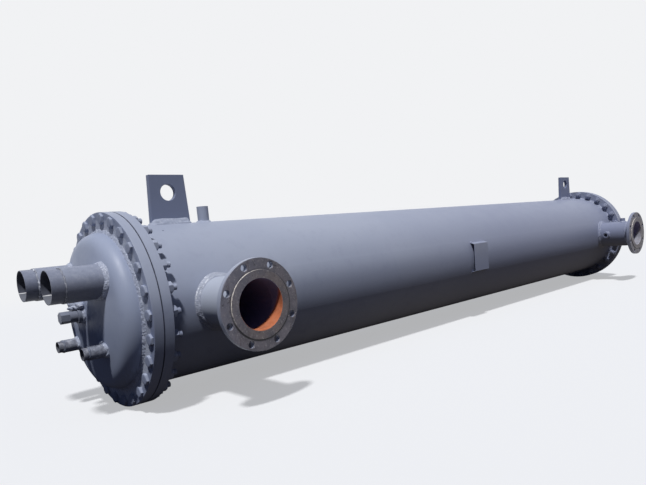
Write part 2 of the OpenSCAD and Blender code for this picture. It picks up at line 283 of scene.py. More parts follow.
def enamel_layers(tree, paint):
    """Colour, roughness and bump of the sprayed enamel: broad tone, deeper towards the far end, blots, dust
    on top, a darker belt along the side that is painted shade, painted shade in a darker blue on the near
    head's face outside its bolts and on the bolts' ends, a spattered band inside them, speckle and one chip."""
    body, dusty, deep = tuple(paint.body), tuple(paint.dusty), tuple(paint.deep)
    broad = noise(tree, 0.55, 2.0, offset=3.1)
    blots = noise(tree, 0.07, 4.0, 0.6, offset=7.7)
    runs = noise(tree, 0.05, 3.0, 0.6, (1, 1, 0.18), 1.3)
    spatter = noise(tree, 0.008, 3.0, 0.6, offset=4.7)
    grain = noise(tree, 0.0035, 2.0, 0.6)
    peel = noise(tree, 0.006, 1.5, 0.5)
    along, height = place_in(tree, "X"), place_in(tree, "Z")
    around = axis_distance(tree, (0, AXIS_Y, 0), 0)
    chip = put(tree, "VectorMath", (place_in(tree), SHELL_CHIP), "Value", operation="DISTANCE")
    lying = mask(tree, (height, 0.05, 0.27), (blots, 0.3, 0.7, 0.55, 1.0))
    behind_head = (along, NEAR_FACE - 2 * MM, NEAR_FACE - 1 * MM)
    on_face = mask(tree, (along, NEAR_FACE + 1.5 * MM, NEAR_FACE + 0.2 * MM), behind_head)
    outer = mask(tree, on_face, (around, *SPATTER_AND_SHADE_EDGE))
    bolt_ends = mask(tree, (along, NEAR_FACE - 7 * MM, NEAR_FACE - 8.5 * MM), (around, 0.280, 0.285))
    # Painted shade: the near head's face outside the bolt circle and the bolts' end faces are tinted darker
    # and bluer
    thin = put(tree, "Math", (outer, bolt_ends), operation="MAXIMUM")
    inner = mask(tree, on_face, (around, HEAD_R + 1 * MM, HEAD_R + 4 * MM), (around, *SPATTER_AND_SHADE_EDGE, 1.0, 0.0))
    tone = coated(
        tree, body,
        (dusty, (broad, 0.35, 0.65, 0.0, 0.45)),
        (deep, (along, 0.3, 2.1)),
        (deep, (blots, 0.52, 0.78, 0.0, 0.35)),
        (deep, (runs, 0.56, 0.75, 0.0, 0.22)),
        (dusty, lying, 0.3),
        # Painted shade: a darker belt along the side, from about 8 cm above to 11 cm below the axis, off the
        # head's face
        ("#6A7087", (height, 0.08, 0.0), (height, -0.11, -0.06), behind_head, 0.36),
        # Painted shade in a darker blue on the face outside the bolts and on the bolts' ends
        ("#56648A", thin, 0.33),
        ("#C4C9D6", inner, (spatter, 0.46, 0.62, 0.15, 0.6)),
        ("#747990", (grain, 0.62, 0.8, 0.0, 0.25)),
        ("#3E4150", (chip, 4.5 * MM, 2.0 * MM, 0.0, 0.8)),
    )
    rough = mask(tree, (blots, 0.3, 0.7, 0.34, 0.48))
    rough = put(tree, "Math", (rough, mask(tree, lying, 0.12)), operation="ADD")
    return tone, rough, peel, grain


def finish_enamel(tree, tone, rough, *layers):
    """Ends an enamel's graph. Its gloss is full at the upper side, less on the very top and none on the
    underside, which dust has dulled."""
    height = place_in(tree, "Z")
    gloss = mask(tree, (height, -0.06, 0.11, 0.0, 0.36), (height, 0.21, 0.275, 1.0, 0.3))
    normal = bumps(tree, *layers)
    finish_material(tree, Base_Color=tone, Roughness=rough, Normal=normal, Specular_IOR_Level=gloss)


def sheet_layers(tree, peel, grain):
    """Bump of a painted plate: its own slow waves, the spray's orange peel and the dust in it."""
    return (noise(tree, 0.16, 1.0), 0.8 * MM), (peel, 0.12 * MM), (grain, 0.05 * MM)


def sprayed_machine_enamel(paint, name, *coats):
    """Sprayed alkyd machine enamel on rolled plate: matt to satin, faintly pebbled, dusty on top and patchy
    in tone. A share of another colour makes a piece darker or bluer."""
    material, tree = new_material(name)
    tone, rough, peel, grain = enamel_layers(tree, paint)
    finish_enamel(tree, coated(tree, tone, *coats), rough, *sheet_layers(tree, peel, grain))
    return material


def enamel_over_weld(paint, name, size, depth, contrast, *coats):
    """The same enamel on weld metal: paler on its small crests, with pits that hold dark dust and a few
    bright flecks that are painted highlights. A share of grey stands for the thin coat on the pipes."""
    material, tree = new_material(name)
    tone, rough, _, grain = enamel_layers(tree, paint)
    pits = noise(tree, size, 4.0, 0.65, offset=5.5)
    highlight_flecks = noise(tree, 0.7 * size, 2.0, 0.6, (0.5, 1, 1), 8.1)
    tone = coated(
        tree, tone, *coats,
        ("#CDD0DC", (pits, 0.50, 0.68, 0.0, contrast)),
        ("#6A6F86", (pits, 0.44, 0.32, 0.0, 0.8 * contrast)),
        # Painted highlights: a few near white flecks
        ("#E4E7F0", (highlight_flecks, 0.58, 0.64, 0.0, 1.6 * contrast - 0.3)),
    )
    rough = put(tree, "Math", (rough, 0.05), operation="ADD")
    finish_enamel(tree, tone, rough, (pits, depth), (grain, 0.08 * MM))
    return material


def enamel_over_crested_weld(paint, name, centre, crest_r):
    """Enamel on the near nozzle's weld, with painted highlights in near white along the crests of its two
    passes. Each highlight is a broken line at its own distance from the nozzle's axis, brightest at the upper
    left where the lamp's light falls, and both fade out below."""
    material, tree = new_material(name)
    tone, rough, _, grain = enamel_layers(tree, paint)
    pits = noise(tree, 0.011, 4.0, 0.65, offset=5.5)
    left, up = place_in(tree, "X"), place_in(tree, "Z")
    above = (up, -15 * MM, 25 * MM)
    leftward = (left, centre[0] - 10 * MM, centre[0] - 60 * MM, 0.25, 1.0)
    coats = []
    for crest, width, most, offset in ((crest_r, 3.0 * MM, 0.9, 1.9), (crest_r - 8 * MM, 1.8 * MM, 0.6, 4.9)):
        off = off_level(tree, axis_distance(tree, centre, 1), crest)
        broken = (noise(tree, 0.014, 5.0, 0.75, offset=offset), 0.46, 0.62)
        # A painted highlight along one crest
        coats.append(("#F0F2F7", (off, width, 0.4 * width, 0.0, most), broken, above, leftward))
    tone = coated(
        tree, tone,
        ("#CDD0DC", (pits, 0.50, 0.68, 0.0, 0.3)),
        ("#6A6F86", (pits, 0.46, 0.34, 0.0, 0.5)),
        ("#A3A7B2", 0.4),
        *coats,
    )
    rough = put(tree, "Math", (rough, 0.05), operation="ADD")
    finish_enamel(tree, tone, rough, (pits, 0.9 * MM), (grain, 0.08 * MM))
    return material


def enamel_with_painted_seam_shade(paint, name, seam_x):
    """Enamel on a flange whose rim is darkened beside the gasket's seam: painted shade where the gap's shadow
    lies.
    """
    material, tree = new_material(name)
    tone, rough, peel, grain = enamel_layers(tree, paint)
    uneven = mask(tree, noise(tree, 0.03, 3.0, offset=8.3), 1.6 * MM)
    away = put(tree, "Math", (off_level(tree, place_in(tree, "X"), seam_x), uneven), operation="SUBTRACT")
    # Painted shade along the gasket's seam
    tone = coated(tree, tone, ("#2A2E42", (away, 0.6 * MM, 2.0 * MM, 0.7, 0.0)))
    finish_enamel(tree, tone, rough, *sheet_layers(tree, peel, grain))
    return material


def bore_with_painted_light(tree, dark, level):
    """A gas pipe's bore with painted light: lighter below a level as if lit, a painted highlight line there,
    dark above.
    """
    height = place_in(tree, "Z")
    return coated(
        tree, dark,
        ("#6C6F79", (height, level + 0.5 * MM, level - 0.5 * MM)),
        ("#FAFAFC", (off_level(tree, height, level), 1.6 * MM, 0.7 * MM),
         (noise(tree, 0.02, 2.0), 0.40, 0.52, 0.25, 0.9)),
    )


def bore_coat(tree, primer, centre, stain):
    """A primer in a nozzle's bore, painted only where the lamp's light falls in: it reaches in by about two
    thirds of how far a point lies to the lower right of the bore's axis, so that its edge follows the
    shadow's edge, and past it a bluish grey coat stands where the bore is in shade."""
    slant = reach_along(tree, centre, (-0.222, 1.0, 0.611))
    uneven = put(tree, "Math", (slant, mask(tree, stain, 8 * MM)), operation="ADD")
    return coated(
        tree, primer,
        (darker(primer, 0.55), (stain, 0.42, 0.62, 0.0, 0.55)),
        ("#B08A78", (noise(tree, 0.012, 4.0, 0.7, offset=6.1), 0.5, 0.75, 0.0, 0.5)),
        # Where the bore lies in shade the primer gives way to a bluish grey coat
        ("#77759A", (uneven, 8 * MM, 22 * MM)),
    )


def bore_stain(tree):
    return noise(tree, 0.03, 4.0, 0.65, offset=2.2)


def enamel_outside_coat_inside(
    paint, name, centre, axis, inner_r, inside, *coats, slanted=False, mottle=0.0, gas=False
):
    """Enamel on the outside of a pipe or shell, with coats of other tones and a share of pale and dark blots
    on it, and another coat on its bore. A gas pipe is also darker on its lower half, which is painted shade,
    and its bore has painted light and a painted highlight line."""
    material, tree = new_material(name)
    tone, _, peel, grain = enamel_layers(tree, paint)
    stain = bore_stain(tree)
    if slanted:
        bore = bore_coat(tree, inside, centre, stain)
    else:
        bore = coated(tree, inside, (darker(inside, 0.6), (stain, 0.35, 0.7, 0.0, 0.5)))
    if mottle:
        blots = noise(tree, 0.014, 4.0, 0.7, offset=3.3)
        coats += ("#C3C4CC", (blots, 0.50, 0.62, 0.0, mottle)), ("#4C4852", (blots, 0.47, 0.36, 0.0, mottle))
    if gas:
        painted_light_level = centre[2] - 0.5 * inner_r
        # Painted shade: a gas pipe darkens towards its lower half
        coats += (("#383B4A", (place_in(tree, "Z"), centre[2] + 0.65 * inner_r, painted_light_level, 0.0, 0.6)),)
        # Painted light and a painted highlight line in a gas pipe's bore
        bore = bore_with_painted_light(tree, bore, painted_light_level)
    out = mask(tree, (axis_distance(tree, centre, axis), inner_r, inner_r + 0.5 * MM))
    tone = coated(tree, bore, (coated(tree, tone, *coats), out))
    finish_enamel(tree, tone, mask(tree, (out, 0.0, 1.0, 0.75, 0.5)), *sheet_layers(tree, peel, grain))
    return material


def turned_flange_steel(paint, name, centre, primer):
    """Bare turned carbon steel, dark with a brown tinge, mottled by old oil, with fine rings from the lathe.
    Paint mist covers the rim and the back, and the bore has the pipe's primer."""
    material, tree = new_material(name)
    out = axis_distance(tree, centre, 1)
    patch = noise(tree, 0.045, 5.0, 0.65, offset=4.2)
    stain = noise(tree, 0.011, 4.0, 0.7, offset=9.0)
    speck = noise(tree, 0.0055, 2.0, 0.6, offset=2.6)
    swept = noise(tree, 0.016, 4.0, 0.65, (1, 1, 0.25), 5.7)
    upper = reach_along(tree, centre, (-0.85, 0.0, 0.53))
    lower = reach_along(tree, centre, (0.45, 0.0, -0.89))
    face, rim = RAISED_FACE_R, NOZZLE_FLANGE_R
    metal = coated(
        tree, tuple(paint.flange),
        ("#675F60", (out, face, face - 1 * MM)),
        ("#484750", (patch, 0.38, 0.62, 0.0, 0.75)),
        ("#77798A", (upper, -0.2 * rim, 0.9 * rim, 0.0, 0.35)),
        ("#807B80", (stain, 0.52, 0.70, 0.0, 0.6)),
        ("#40373A", (swept, 0.54, 0.72, 0.0, 0.6)),
        ("#2F2A2D", (stain, 0.42, 0.28, 0.0, 0.85)),
        ("#A9A4A4", (speck, 0.58, 0.74, 0.0, 0.45)),
        # Painted shade at the foot of the raised face, mostly below, and bright wear on the face's edge, kept
        # to the upper left as a painted highlight
        ("#0E0C10", (out, face - 0.4 * MM, face + 0.4 * MM), (out, face + 6 * MM, face + 4 * MM),
         (lower, -0.5 * face, 0.2 * face, 0.25, 0.97)),
        ("#E2DAD0", (out, face - 1.5 * MM, face - 0.7 * MM), (out, face + 0.5 * MM, face + 0.1 * MM),
         (stain, 0.38, 0.54, 0.15, 1.0), (upper, 0.25 * face, 0.98 * face)),
    )
    # The lathe's rings are drawn 1.6 mm apart, coarser than real, so that they show
    rings = put(tree, "Math", (mask(tree, out, 2 * math.pi / (1.6 * MM)),), operation="SINE")
    depth = put(tree, "Math", (place_in(tree, "Y"), mask(tree, patch, 4 * MM)), operation="ADD")
    edge = put(tree, "Math", (out, mask(tree, patch, 5 * MM)), operation="ADD")
    behind = mask(tree, (depth, RAISED_FACE + 4 * MM, RAISED_FACE + 7 * MM))
    mist = put(tree, "Math", (behind, mask(tree, (edge, rim + 0.5 * MM, rim + 4 * MM))), operation="MAXIMUM")
    bore = mask(tree, (out, NOZZLE_BORE_R + 1.0 * MM, NOZZLE_BORE_R + 0.2 * MM))
    tone, _, _, grain = enamel_layers(tree, paint)
    tone = coated(tree, metal, (tone, mist), (bore_coat(tree, primer, centre, bore_stain(tree)), bore))
    bare = [put(tree, "Math", (1.0, covered), operation="SUBTRACT") for covered in (mist, bore)]
    rough = mask(tree, (stain, 0.3, 0.7, 0.40, 0.58))
    rough = put(tree, "Math", (rough, mask(tree, bore, 0.2)), operation="ADD")
    normal = bumps(tree, (rings, 0.02 * MM), (stain, 0.10 * MM), (grain, 0.04 * MM))
    finish_material(tree, Base_Color=tone, Roughness=rough, Normal=normal, Metallic=mask(tree, *bare, 0.25))
    return material


def compressed_sheet_gasket(paint, name):
    """Compressed fibre gasket sheet: matt, nearly black, with a fibrous edge."""
    material, tree = new_material(name)
    fibre = noise(tree, 0.004, 4.0, 0.7)
    tone = coated(tree, tuple(paint.gasket), ("#33343C", (fibre, 0.4, 0.7)))
    finish_material(tree, Base_Color=tone, Roughness=0.85, Normal=bumps(tree, (fibre, 0.2 * MM)))
    return material


def dull_drawn_tube(paint, name):
    """Drawn tube with an oxide film: satin brown metal with faint lines along its length."""
    material, tree = new_material(name)
    normal = bumps(tree, (noise(tree, 0.003, 2.0, stretch=(0.02, 1, 1)), 0.05 * MM))
    tone = coated(tree, tuple(paint.tube), ("#5F4B3D", (noise(tree, 0.05, 4.0, 0.6), 0.35, 0.7)))
    finish_material(tree, Base_Color=tone, Metallic=0.9, Roughness=0.45, Normal=normal)
    return material


def hot_rolled_mill_plate(_, name):
    """Hot rolled plate with mill scale: dark blue-grey with brown rust blooms, for the hidden baffles."""
    material, tree = new_material(name)
    bloom = noise(tree, 0.05, 5.0, 0.65)
    tone = coated(tree, linear("#4A4C52"), ("#6B4A38", (bloom, 0.45, 0.7)))
    finish_material(tree, Base_Color=tone, Metallic=0.3, Roughness=0.7, Normal=bumps(tree, (bloom, 0.2 * MM)))
    return material


def pipe_enamel(paint, name, node):
    """Thin grey enamel on a pipe along X, and dark bare steel on its bore. The tips are duller than the
    pipes, the liquid stubs duller than the gas pipes, and all have pale and dark blots, most of them on the
    liquid stubs."""
    gas = "gas" in node
    inside, other, mottle = ("#4A4D5A", "#5F6478", 0.12) if gas else ("#62646C", "#66676F", 0.4)
    share = 0.4 + 0.2 * ("tip" in node) + 0.2 * (not gas)
    return enamel_outside_coat_inside(
        paint, name, middle(node), 0, half(node) - 1.8 * MM, linear(inside), (other, share),
        gas=gas, mottle=mottle,
    )


MATERIALS = {}
COATS = {
    "body": (sprayed_machine_enamel, "sprayed_machine_enamel"),
    "dish": (sprayed_machine_enamel, "enamel_on_dished_heads", ("#8592B0", 0.35)),
    "lug": (sprayed_machine_enamel, "enamel_on_lugs", ("#606A8A", 0.6)),
    "plug": (sprayed_machine_enamel, "enamel_on_boss_and_plug", ("#50535F", 0.6)),
    "weld": (enamel_over_weld, "enamel_over_even_weld", 0.011, 0.7 * MM, 0.3),
    "rough weld": (enamel_over_weld, "enamel_over_rough_weld", 0.006, 0.9 * MM, 0.5),
    "tip weld": (enamel_over_weld, "enamel_over_tip_weld", 0.018, 0.8 * MM, 0.8, ("#66676F", 0.7)),
    "crested weld": (
        enamel_over_crested_weld, "enamel_over_crested_weld", (0, AXIS_Y, 0), PIPE_R + 12.5 * MM
    ),
    "near seam": (enamel_with_painted_seam_shade, "near_enamel_with_dirty_seam", middle("near_gasket")[0]),
    "far seam": (enamel_with_painted_seam_shade, "far_enamel_with_dirty_seam", middle("far_gasket")[0]),
    "gasket": (compressed_sheet_gasket, "compressed_sheet_gasket"),
    "tubes": (dull_drawn_tube, "dull_drawn_tube"),
    "mill plate": (hot_rolled_mill_plate, "hot_rolled_mill_plate"),
}


def coat(name):
    """The material of a coat or of a pipe, made the first time that it is asked for."""
    if name not in MATERIALS:
        pipe = pipe_enamel, "enamel_outside_bare_steel_inside_" + name, name
        make, *values = COATS.get(name, pipe)
        MATERIALS[name] = make(bpy.context.scene.exchanger_paint, *values)
    return MATERIALS[name]


# Meshes from arrays


def unit(vectors):
    return vectors / np.maximum(np.linalg.norm(vectors, axis=-1, keepdims=True), 1e-12)


def turns(count):
    """Angles in even steps once round."""
    return np.arange(count) * 2 * math.pi / count


def circle(count):
    """Points in even steps round a circle of radius 1."""
    return np.stack([np.cos(turns(count)), np.sin(turns(count))], 1)


def grid_quads(rows, columns, wrap_rows=False, wrap_columns=False):
    """Corner numbers of the quads between the neighbouring points of a grid, wrapped round where asked."""
    row = np.arange(rows if wrap_rows else rows - 1)[:, None]
    column = np.arange(columns if wrap_columns else columns - 1)[None, :]
    down, right = (row + 1) % rows, (column + 1) % columns
    sides = [row * columns + column, row * columns + right, down * columns + right, down * columns + column]
    return np.stack([side.ravel() for side in np.broadcast_arrays(*sides)], 1)


def merge(mesh):
    """A mesh's shape with equal points merged and slivers dissolved, to be changed further."""
    shape = bmesh.new()
    shape.from_mesh(mesh)
    bmesh.ops.remove_doubles(shape, verts=shape.verts, dist=0.01 * MM)
    bmesh.ops.dissolve_degenerate(shape, edges=shape.edges, dist=0.005 * MM)
    return shape


def show(mesh, shape, material, replaced):
    """Puts a shape back in its mesh and shows it as a piece, which may stand for a CAD node."""
    shape.to_mesh(mesh)
    shape.free()
    mesh.shade_smooth()
    mesh.materials.clear()
    mesh.materials.append(material)
    piece = bpy.data.objects.new(mesh.name, mesh)
    bpy.context.scene.collection.objects.link(piece)
    if replaced:
        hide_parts(replaced)
    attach(piece, "root")
    return piece


def make_piece(name, parts, material, sharp=40, replaced=None):
    """Makes one closed mesh of (points, faces) parts: equal points are merged, faces turned outwards and
    edges shaded."""
    starts = np.cumsum([0] + [len(points) for points, _ in parts])
    faces = [face for start, (_, part) in zip(starts, parts) for face in (part + start).tolist()]
    mesh = bpy.data.meshes.new(name)
    mesh.from_pydata(np.concatenate([points for points, _ in parts]).tolist(), [], faces)
    shape = merge(mesh)
    bmesh.ops.recalc_face_normals(shape, faces=shape.faces)
    show(mesh, shape, material, replaced)
    mesh.set_sharp_from_angle(angle=math.radians(sharp))


def make_weld(name, parts, finish="weld"):
    make_piece(name, parts, coat(finish), sharp=60)


def eased_copy(node, material, width):
    """A merged copy of a CAD node with its sharp edges rounded, which then stands for the node."""
    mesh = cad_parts[node].data.copy()
    mesh.name = node + "_eased"
    shape = merge(mesh)
    bmesh.ops.dissolve_limit(
        shape, angle_limit=math.radians(0.5), use_dissolve_boundaries=False, verts=shape.verts,
        edges=shape.edges,
    )
    piece = show(mesh, shape, material, node)
    bevel = piece.modifiers.new("Eased edges", "BEVEL")
    bevel.width = width
    bevel.segments = 2
    bevel.limit_method = "ANGLE"
    bevel.angle_limit = math.radians(40)
    bevel.use_clamp_overlap = True
    piece.modifiers.new("Flats stay flat", "WEIGHTED_NORMAL").weight = 80


def frame_of(axis):
    """Three square unit vectors, the last one along axis."""
    last = unit(np.array(axis, float))
    helper = np.array([0, 0, 1.0]) if abs(last[2]) < 0.9 else np.array([0, 1.0, 0])
    first = unit(np.cross(helper, last))
    return first, np.cross(last, first), last


def turned(centre, axis, radius, along, steps, start=0.0):
    """A profile of radius and distance along the axis, carried once round the axis."""
    first, second, last = frame_of(axis)
    turn = start + turns(steps)
    out = np.cos(turn)[:, None] * first + np.sin(turn)[:, None] * second
    points = (
        np.asarray(centre, float)
        + np.asarray(along)[:, None, None] * last
        + np.asarray(radius)[:, None, None] * out[None]
    )
    return points.reshape(-1, 3), grid_quads(len(radius), steps, False, True)


def eased(outline, radius, steps=3):
    """An open outline with a small curve in place of each corner: a parabola between the points that lie
    radius before and after it. A point past each end of the curve keeps the flats beside it flat in the
    shading."""
    outline = np.asarray(outline, float)
    guard = 1.7 * radius
    before = unit(np.roll(outline, 1, 0) - outline)
    after = unit(np.roll(outline, -1, 0) - outline)
    t = np.linspace(0, 1, steps + 1)[None, :, None]
    start, end = outline + before * radius, outline + after * radius
    curve = (1 - t) ** 2 * start[:, None] + 2 * t * (1 - t) * outline[:, None] + t**2 * end[:, None]
    points = np.concatenate(
        [(outline + before * guard)[:, None], curve, (outline + after * guard)[:, None]], 1
    )
    return np.concatenate([outline[:1], points[1:-1].reshape(-1, 2), outline[-1:]])


# Drilled flanges


def drilled_ring(centre, axis, front, back, core, ease, bolt_r, count, first_hole, arc_steps):
    """A turned flange with a ring of bolt holes.

    front and back are (inner radius, outer radius, level). Each hole has its own sector of the ring. The
    points of a sector lie between the hole's circle and the sector's own edge, in even shares, first on the
    front face, then down the hole with an eased rim at both ends, then on the back face. The rim and the core
    are turned profiles that meet the sectors point for point."""
    sweep = math.pi / count
    side_steps = 6
    bolt = np.array([bolt_r, 0.0])

    def sector_edge(inner, outer):
        arc = np.linspace(-sweep, sweep, arc_steps + 1)[:-1]
        inward = np.linspace(outer, inner, side_steps + 1)[:-1]
        outward = np.linspace(inner, outer, side_steps + 1)[:-1]
        radius = np.concatenate([np.full(arc_steps, outer), inward, np.full(arc_steps, inner), outward])
        angle = np.concatenate([arc, np.full(side_steps, sweep), -arc, np.full(side_steps, -sweep)])
        return np.stack([radius * np.cos(angle), radius * np.sin(angle)], 1)

    def rows_at(edge, level, hole_r, shares=(1.0,)):
        hole = bolt + unit(edge - bolt) * hole_r
        rows = edge + (hole - edge) * np.asarray(shares)[:, None, None]
        return np.concatenate([rows, np.full((*rows.shape[:2], 1), level)], 2)

    shares = (0.0, 0.45, 0.85, 1.0)
    front_edge = sector_edge(front[0], front[1] - ease)
    back_edge = sector_edge(back[0], back[1] - ease)
    rows = np.concatenate([
        rows_at(front_edge, front[2], BOLT_HOLE_R + ease, shares),
        rows_at(front_edge, front[2] + ease, BOLT_HOLE_R),
        rows_at(front_edge, back[2] - ease, BOLT_HOLE_R),
        rows_at(back_edge, back[2], BOLT_HOLE_R + ease, shares[::-1]),
    ])
    first, second, last = frame_of(axis)
    angle = (first_hole + turns(count))[:, None, None]
    x = rows[..., 0] * np.cos(angle) - rows[..., 1] * np.sin(angle)
    y = rows[..., 0] * np.sin(angle) + rows[..., 1] * np.cos(angle)
    placed = x[..., None] * first + y[..., None] * second + rows[..., 2, None] * last + centre
    quads = grid_quads(*rows.shape[:2], False, True)
    parts = [(points.reshape(-1, 3), quads) for points in placed]
    outline = [
        (front[1] - 3 * ease, front[2]), (front[1], front[2]),
        (back[1], back[2]), (back[1] - 3 * ease, back[2]),
    ]
    rim = eased(outline, ease)[2:-2]
    rim = np.concatenate([[[front[1] - ease, front[2]]], rim, [[back[1] - ease, back[2]]]])
    for profile in (rim, np.asarray(core)):
        parts.append(turned(centre, axis, *profile.T, arc_steps * count, first_hole - sweep))
    return parts


# Welds


def wobble(count, seed, total, shortest, strength):
    """Smooth random values round a closed path: sines with whole numbers of waves down to the shortest wave's
    length, each with a random phase and the longer waves the stronger."""
    random = np.random.default_rng(seed)
    most = max(4, int(total / shortest))
    waves = np.unique(np.linspace(max(2, most // 8), most, 14).astype(int))
    t = np.arange(count) / count
    phases = random.uniform(0, 2 * math.pi, len(waves))
    sizes = random.uniform(0.5, 1.0, len(waves)) * (waves[0] / waves) ** 0.4
    sizes = sizes / np.sqrt((sizes**2).sum() / 2)
    return strength * (sizes[:, None] * np.sin(2 * math.pi * waves[:, None] * t + phases[:, None])).sum(0)


def bead(
    path, along, across, legs, settings, seed, lumps=0.1, fullness=1.5, passes=2, ripple=0.035, rough=0.0
):
    """A fillet weld carried once round a path.

    The section runs from the toe on one surface to the toe on the other, along + (cos t)^f and across + (sin
    t)^f for t from 0 to a right angle, with f the fullness: 2 is flat and 1 is a round bulge. Shallow grooves
    part the passes, slow lumps push the face and the toes out and in, fine ripples bow along the path, small
    crumbs roughen the face where rough is above 0, and the back of the section lies in the corner under the
    surfaces."""
    count, steps = len(path), 13
    t = np.linspace(0, math.pi / 2, steps)
    swell = np.sin(2 * t)[None]
    gaps = np.linalg.norm(np.roll(path, -1, 0) - path, axis=1)
    run = np.cumsum(gaps) - gaps[0]
    total = gaps.sum()
    slow, quick = 2.6 * max(legs), 1.3 * max(legs)
    leg_a = legs[0] * (1 + wobble(count, seed, total, slow, lumps * 0.8))
    leg_b = legs[1] * (1 + wobble(count, seed + 1, total, slow, lumps * 0.8))
    push = wobble(count, seed + 2, total, slow, lumps * 0.6)[:, None] * swell
    for row in range(1, 4):
        bump = wobble(count, seed + 2 + row, total, quick, lumps * 0.3)
        push = push + bump[:, None] * np.sin(2 * t * row)[None] * swell
    drift = wobble(count, seed + 7, total, 3 * slow, 0.12)
    groove = np.cos(2 * math.pi * passes * (t[None] / (math.pi / 2) + drift[:, None] * swell))
    push = push - 0.035 * (passes > 1) * groove * swell
    coins = max(round(total / settings.ripple), 1)
    phase = 2 * math.pi * coins * run[:, None] / total + 2.0 * np.sin(2 * t * passes)[None] ** 2
    push = push + ripple * np.sin(phase) * swell
    for row, place in enumerate(np.linspace(0.2, 1.37, 5) if rough else ()):
        hill = np.clip(1 - np.abs(t - place) / 0.3, 0, 1)
        crumbs = wobble(count, seed + 20 + row, total, 5 * MM, rough)
        push = push + crumbs[:, None] * (hill * hill * (3 - 2 * hill))[None]
    sink = 0.5 * MM
    a = leg_a[:, None] * np.cos(t)[None] ** fullness + push * min(legs) - sink
    b = leg_b[:, None] * np.sin(t)[None] ** fullness + push * min(legs) - sink
    face = path[:, None] + along[:, None] * a[..., None] + across[:, None] * b[..., None]
    corner = path - (along + across) * 1.5 * sink
    points = np.concatenate([face, corner[:, None]], 1)
    return [(points.reshape(-1, 3), grid_quads(count, steps + 1, True, True))]


def ring_bead(centre, axis, radius, half_width, height, settings, seed, lumps=0.15):
    """A butt weld round a pipe: a low rounded ridge whose height and width wander."""
    total = 2 * math.pi * radius
    count = max(48, int(total / (2.2 * MM)))
    turn = turns(count)
    first, second, last = frame_of(axis)
    out = np.cos(turn)[:, None] * first + np.sin(turn)[:, None] * second
    slow = 3.0 * half_width
    wide = half_width * (1 + wobble(count, seed, total, slow, lumps))
    shift = wobble(count, seed + 1, total, 3 * slow, lumps * 0.5) * half_width
    tall = height * (1 + wobble(count, seed + 2, total, slow, lumps * 1.6))
    s = np.linspace(-1, 1, 9)
    coins = round(total / settings.ripple)
    waves = 1 + 0.06 * np.sin(turn[:, None] * coins + 1.6 * (1 - s[None] ** 2))
    lift = tall[:, None] * (1 - s[None] ** 2) ** 0.8 * waves - 0.3 * MM
    slide = wide[:, None] * s[None] + shift[:, None]
    face = centre + out[:, None] * (radius + lift)[..., None] + last * slide[..., None]
    under = centre + out[:, None] * (radius - 1.2 * MM) + last * shift[:, None, None]
    points = np.concatenate([face, under], 1)
    return [(points.reshape(-1, 3), grid_quads(count, len(s) + 1, True, True))]


def blob(centre, size, seed):
    """A lump of weld metal: a ball pressed to size, its radius pushed in and out by a few slow waves."""
    random = np.random.default_rng(seed)
    around, up = 16, 9
    theta = turns(around)[None]
    phi = np.linspace(0, math.pi, up)[:, None]
    phase = random.uniform(0, 2 * math.pi, 3)
    wave = 1 + 0.18 * np.sin(2 * theta + 3 * phi + phase[0]) * np.sin(phi)
    wave = wave + 0.14 * np.sin(3 * theta - 4 * phi + phase[1]) * np.sin(phi)
    height = np.cos(phi) * np.ones(around)
    ball = np.stack([np.sin(phi) * np.cos(theta) * wave, np.sin(phi) * np.sin(theta) * wave, height], 2)
    points = np.asarray(centre) + (ball * np.asarray(size)).reshape(-1, 3)
    return [(points, grid_quads(up, around, False, True))]


def saddle(centre, drum_axis, up, pipe_r, drum_r, count):
    """The line where a pipe meets a drum: round the pipe by an angle a, the point lies pipe_r cos a along the
    drum, pipe_r sin a across it and the square root of drum_r^2 - (pipe_r sin a)^2 up the pipe. Gives the
    points, the way up the pipe and the way out over the drum."""
    drum_axis, up = np.array(drum_axis, float), np.array(up, float)
    cross = np.cross(drum_axis, up)
    side, over = circle(count).T[..., None]
    depth = np.sqrt(drum_r**2 - (pipe_r * over) ** 2)
    points = np.asarray(centre, float) + pipe_r * side * drum_axis + pipe_r * over * cross + depth * up
    normal = unit(pipe_r * over * cross + depth * up)
    away = side * drum_axis + over * cross
    away = unit(away - normal * (away * normal).sum(1)[:, None])
    return points, np.tile(up, (count, 1)), away


def hoop(x, radius, way, count):
    """A circle round the shell's axis, for a bead whose legs lie along the axis, as way says, and outward."""
    out = np.column_stack([np.zeros(count), circle(count)])
    return np.array([x, AXIS_Y, 0.0]) + out * radius, np.tile([way, 0.0, 0.0], (count, 1)), out


# Heads

BLEND = math.asin((HEAD_R - KNUCKLE) / (CROWN - KNUCKLE))
CROWN_DROP = (CROWN - KNUCKLE) * math.cos(BLEND)
CROWN_RUN = CROWN * BLEND
KNUCKLE_RUN = KNUCKLE * (math.pi / 2 - BLEND)
HEAD_RUN = CROWN_RUN + KNUCKLE_RUN + HEAD_RIM


def head_profile(distance):
    """Radius, height and slope angle of the dished head at a distance walked from its middle: first the
    crown's arc, then the knuckle's, then the straight rim."""
    crown_angle = np.minimum(distance, CROWN_RUN) / CROWN
    slope = crown_angle + np.clip(distance - CROWN_RUN, 0, KNUCKLE_RUN) / KNUCKLE
    drop = np.maximum(distance - CROWN_RUN - KNUCKLE_RUN, 0)
    on_crown = distance <= CROWN_RUN
    radius = np.where(on_crown, CROWN * np.sin(crown_angle), HEAD_R - KNUCKLE + KNUCKLE * np.sin(slope))
    height = np.where(on_crown, CROWN * np.cos(crown_angle) - CROWN_DROP, KNUCKLE * np.cos(slope))
    return radius, height + HEAD_RIM - drop, slope


